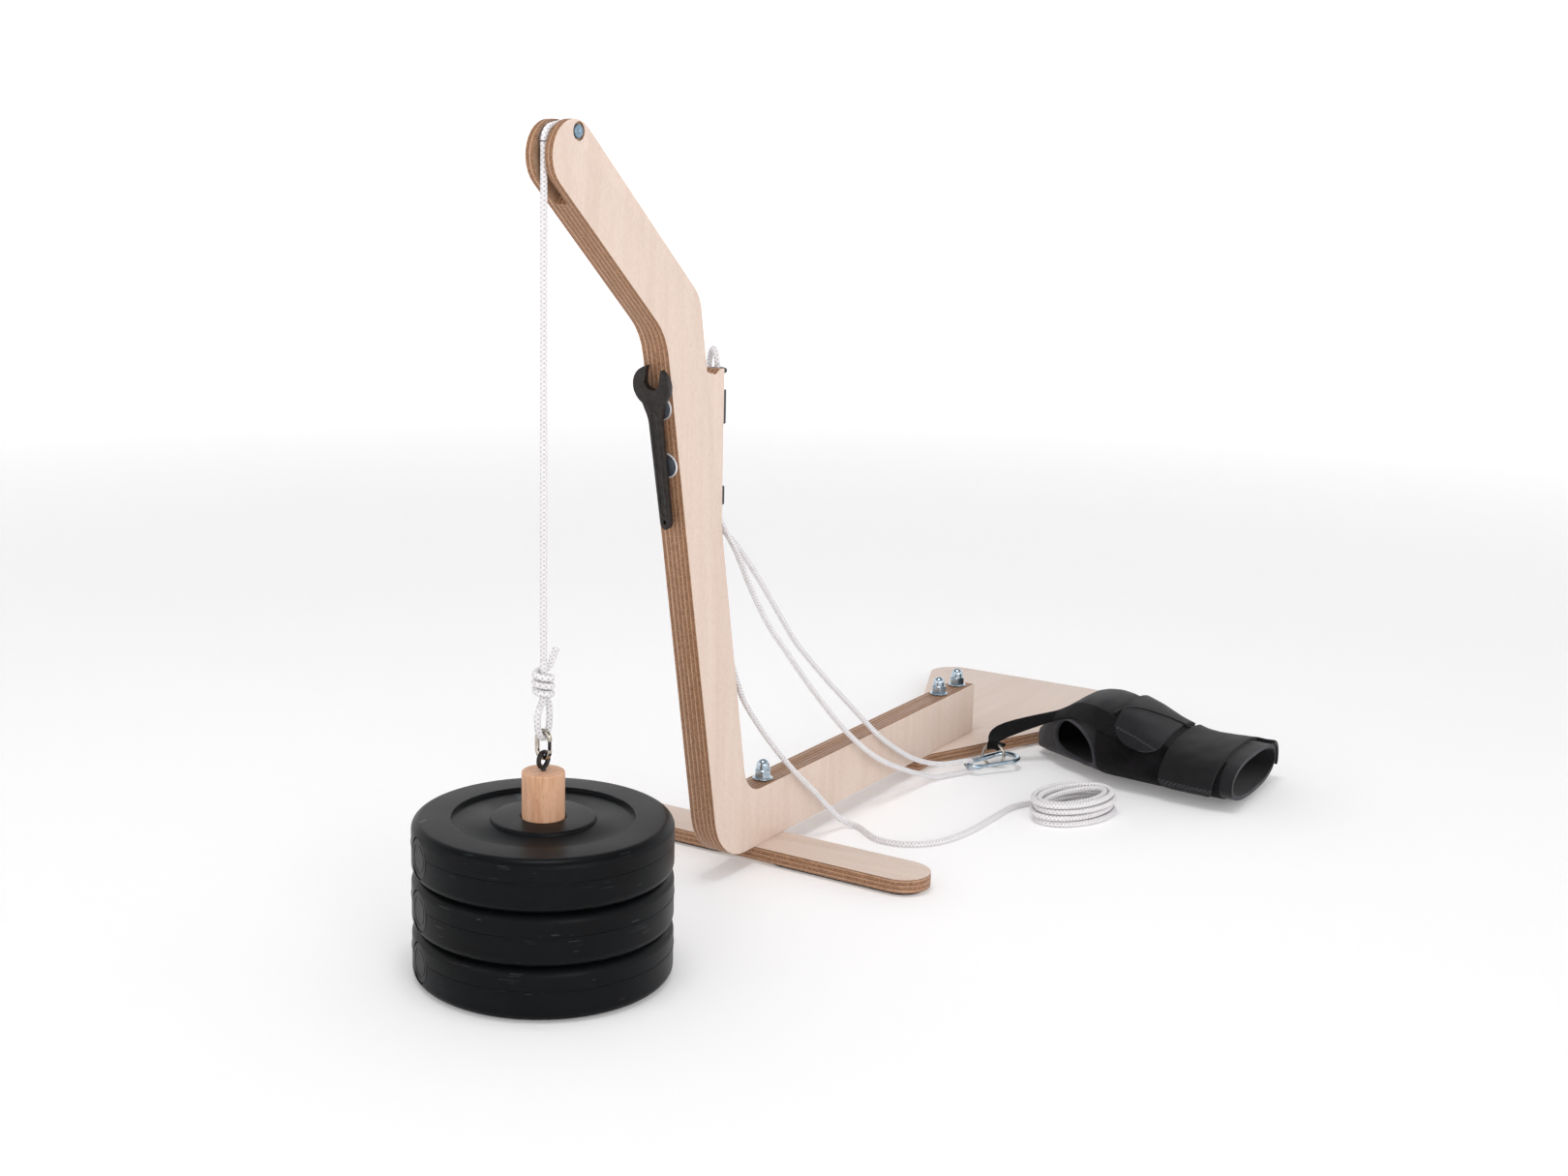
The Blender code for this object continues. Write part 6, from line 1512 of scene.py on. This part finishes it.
    def ribbon(self) -> None:
        """Webbing from under the flap, over the cuff and folded round the ring."""
        hook = Carabiner()
        axis = Vector((-math.sin(hook.ring_turn), math.cos(hook.ring_turn), 0.0))
        out = Vector((math.cos(hook.ring_turn), math.sin(hook.ring_turn), 0.0))
        up = Vector((0, 0, 1))
        top = Vector(hook.ring_at) + up * hook.ring_r
        fold = hook.ring_wire + 1.1 + self.ribbon_t
        marks = [k / 10 - 0.5 for k in range(11)]

        def crumpled(centre: Vector, width: float, sag: float) -> list[Vector]:
            """One row across the webbing, bowed over the ring."""
            reach = hook.ring_r
            return [centre + axis * (m * width)
                    - up * (sag * (reach - math.sqrt(reach ** 2 - min(abs(m * width), reach * 0.9) ** 2)))
                    for m in marks]

        rows = [crumpled(top + out * 17.0 + up * (1.6 - fold), self.ribbon_w * 0.8, 0.2),
                crumpled(top + out * 7.0 - up * fold, self.ribbon_fold_w, 1.0)]
        for a, b in arc(0.0, 0.0, fold, -90.0, -270.0, 8):
            rows.append(crumpled(top + out * a + up * b, self.ribbon_fold_w, 1.0))
        rows.append(crumpled(top + out * 9.0 + up * (fold + 2.0), self.ribbon_w * 0.75, 0.4))
        centre = top + out * 20.0 + Vector((2.0, -6.0, fold + 7.0))
        across = Vector((-6.0, 20.0, 9.0)).normalized() * self.ribbon_w
        rows.append([centre + across * m for m in marks])
        lift = self.lift + self.ribbon_t
        spread = math.degrees(self.ribbon_w / self.ribbon_girth)
        for point in curve_through([(y, turn, 0.0) for y, turn in self.RIBBON], 6.0):
            rows.append([self.spot(point.x, point.y - spread * m, lift) for m in marks])
        band = self.cloth("ring_webbing", [row[::-1] for row in rows], self.ribbon_t, soft=0.0)
        modify(band, "SUBSURF", levels=2, render_levels=2)
        dress(shade(band, 60.0), Finishes.RIBBON, "ring_strap")

    def build(self) -> None:
        """Build the cuff from the inside out."""
        self.body()
        self.straps()
        self.ribbon()


@dataclass
class Studio:
    """Pale floor and backdrop, soft lights, and the camera at the photograph's angle."""

    azimuth: float = 0.59615
    pitch: float = 0.1857
    roll: float = -0.01162
    at: Point3 = (-1.3875, -0.8323, 0.5880)
    lens: float = 44.96
    shift: Point2 = (0.0810, -0.0380)
    floor_colour: str = "f9f8f8"
    floor_r: float = 4200.0
    sweep_r: float = 1800.0
    wall_top: float = 3600.0
    glow: Point2 = (0.14, 0.44)
    glow_from: float = 0.9
    sky: str = "f3f5f8"
    sky_strength: float = 0.42

    LAMPS = (
        # name, place, aim, size, power
        ("key", (-2.4, -3.8, 1.6), (0.0, 0.0, 0.2), (2.0, 2.0), 36.5),
        ("overhead", (-0.4, -0.1, 2.6), (0.0, 0.0, 0.0), (0.8, 0.8), 19.0),
        ("fill", (-3.0, 0.8, 1.4), (0.0, 0.0, 0.3), (1.8, 2.0), 7.0),
    )

    def camera(self) -> None:
        """Place the camera."""
        forward = Vector((math.cos(self.pitch) * math.cos(self.azimuth),
                          math.cos(self.pitch) * math.sin(self.azimuth), -math.sin(self.pitch)))
        right = forward.cross(Vector((0, 0, 1))).normalized()
        down = forward.cross(right)
        c, s = math.cos(self.roll), math.sin(self.roll)
        x_axis, y_axis = right * c + down * s, right * s - down * c
        data = bpy.data.cameras.new("camera")
        data.lens = self.lens
        data.sensor_width = 36.0
        data.shift_x, data.shift_y = self.shift
        data.clip_end = 50.0
        camera = add_object("camera", data)
        turn = Matrix((x_axis, y_axis, -forward)).transposed().to_4x4()
        camera.matrix_world = Matrix.Translation(self.at) @ turn
        bpy.context.scene.camera = camera

    def light(self, name: str, at: Point3, aim: Point3, size: Point2, power: float) -> None:
        """Add one soft rectangular light."""
        data = bpy.data.lights.new(name, "AREA")
        data.shape = "RECTANGLE"
        data.size, data.size_y = size
        data.energy = power
        lamp = add_object(name, data)
        lamp.location = at
        lamp.rotation_euler = (Vector(aim) - Vector(at)).to_track_quat("-Z", "Y").to_euler()

    def build(self) -> None:
        """Camera, floor, lights and world."""
        self.camera()
        sweep = [(0.0, -0.2), (self.floor_r, -0.2),
                 *arc(self.floor_r, self.sweep_r, self.sweep_r, -80.0, 0.0, 12),
                 (self.floor_r + self.sweep_r, self.wall_top)]
        floor = lathe("floor", sweep, (0.0, 0.0, 0.0))
        made = bpy.data.materials.new("paper, seamless")
        made.use_nodes = True
        shader = made.node_tree.nodes["Principled BSDF"].inputs
        shader["Base Color"].default_value = linear(self.floor_colour)
        shader["Roughness"].default_value = 0.9
        shader["Emission Color"].default_value = linear(self.floor_colour)
        # The paper is lit from behind further out, so that it stays pale where the lamps don't reach
        node = partial(add_node, made.node_tree)
        far = node("VectorMath", {0: node("TexCoord", out="Object")}, out="Value", operation="LENGTH")
        low, high = self.glow
        glow = node("MapRange", {0: far, 1: self.glow_from, 2: self.floor_r * MM, 3: low, 4: high},
                    interpolation_type="SMOOTHSTEP")
        made.node_tree.links.new(glow, shader["Emission Strength"])
        floor.data.materials.append(made)
        for lamp in self.LAMPS:
            self.light(*lamp)
        world = bpy.data.worlds.new("studio")
        world.use_nodes = True
        sky = world.node_tree.nodes["Background"].inputs
        sky["Color"].default_value = linear(self.sky)
        sky["Strength"].default_value = self.sky_strength
        bpy.context.scene.world = world
        bpy.context.scene.view_settings.view_transform = "Standard"


def main() -> None:
    """Build the studio and every sub-assembly."""
    logging.basicConfig(level=logging.INFO, format="%(name)s %(message)s")
    bpy.ops.object.select_all(action="DESELECT")
    parts = (Studio(), Rope(), PlywoodFrame(), FrameBolts(), Head(), SpannerRest(), CleatSet(), WeightStack(),
             Carabiner(), AnkleCuff())
    for part in parts:
        LOG.info("building %s", type(part).__name__)
        part.build()


if __name__ == "__main__":
    main()
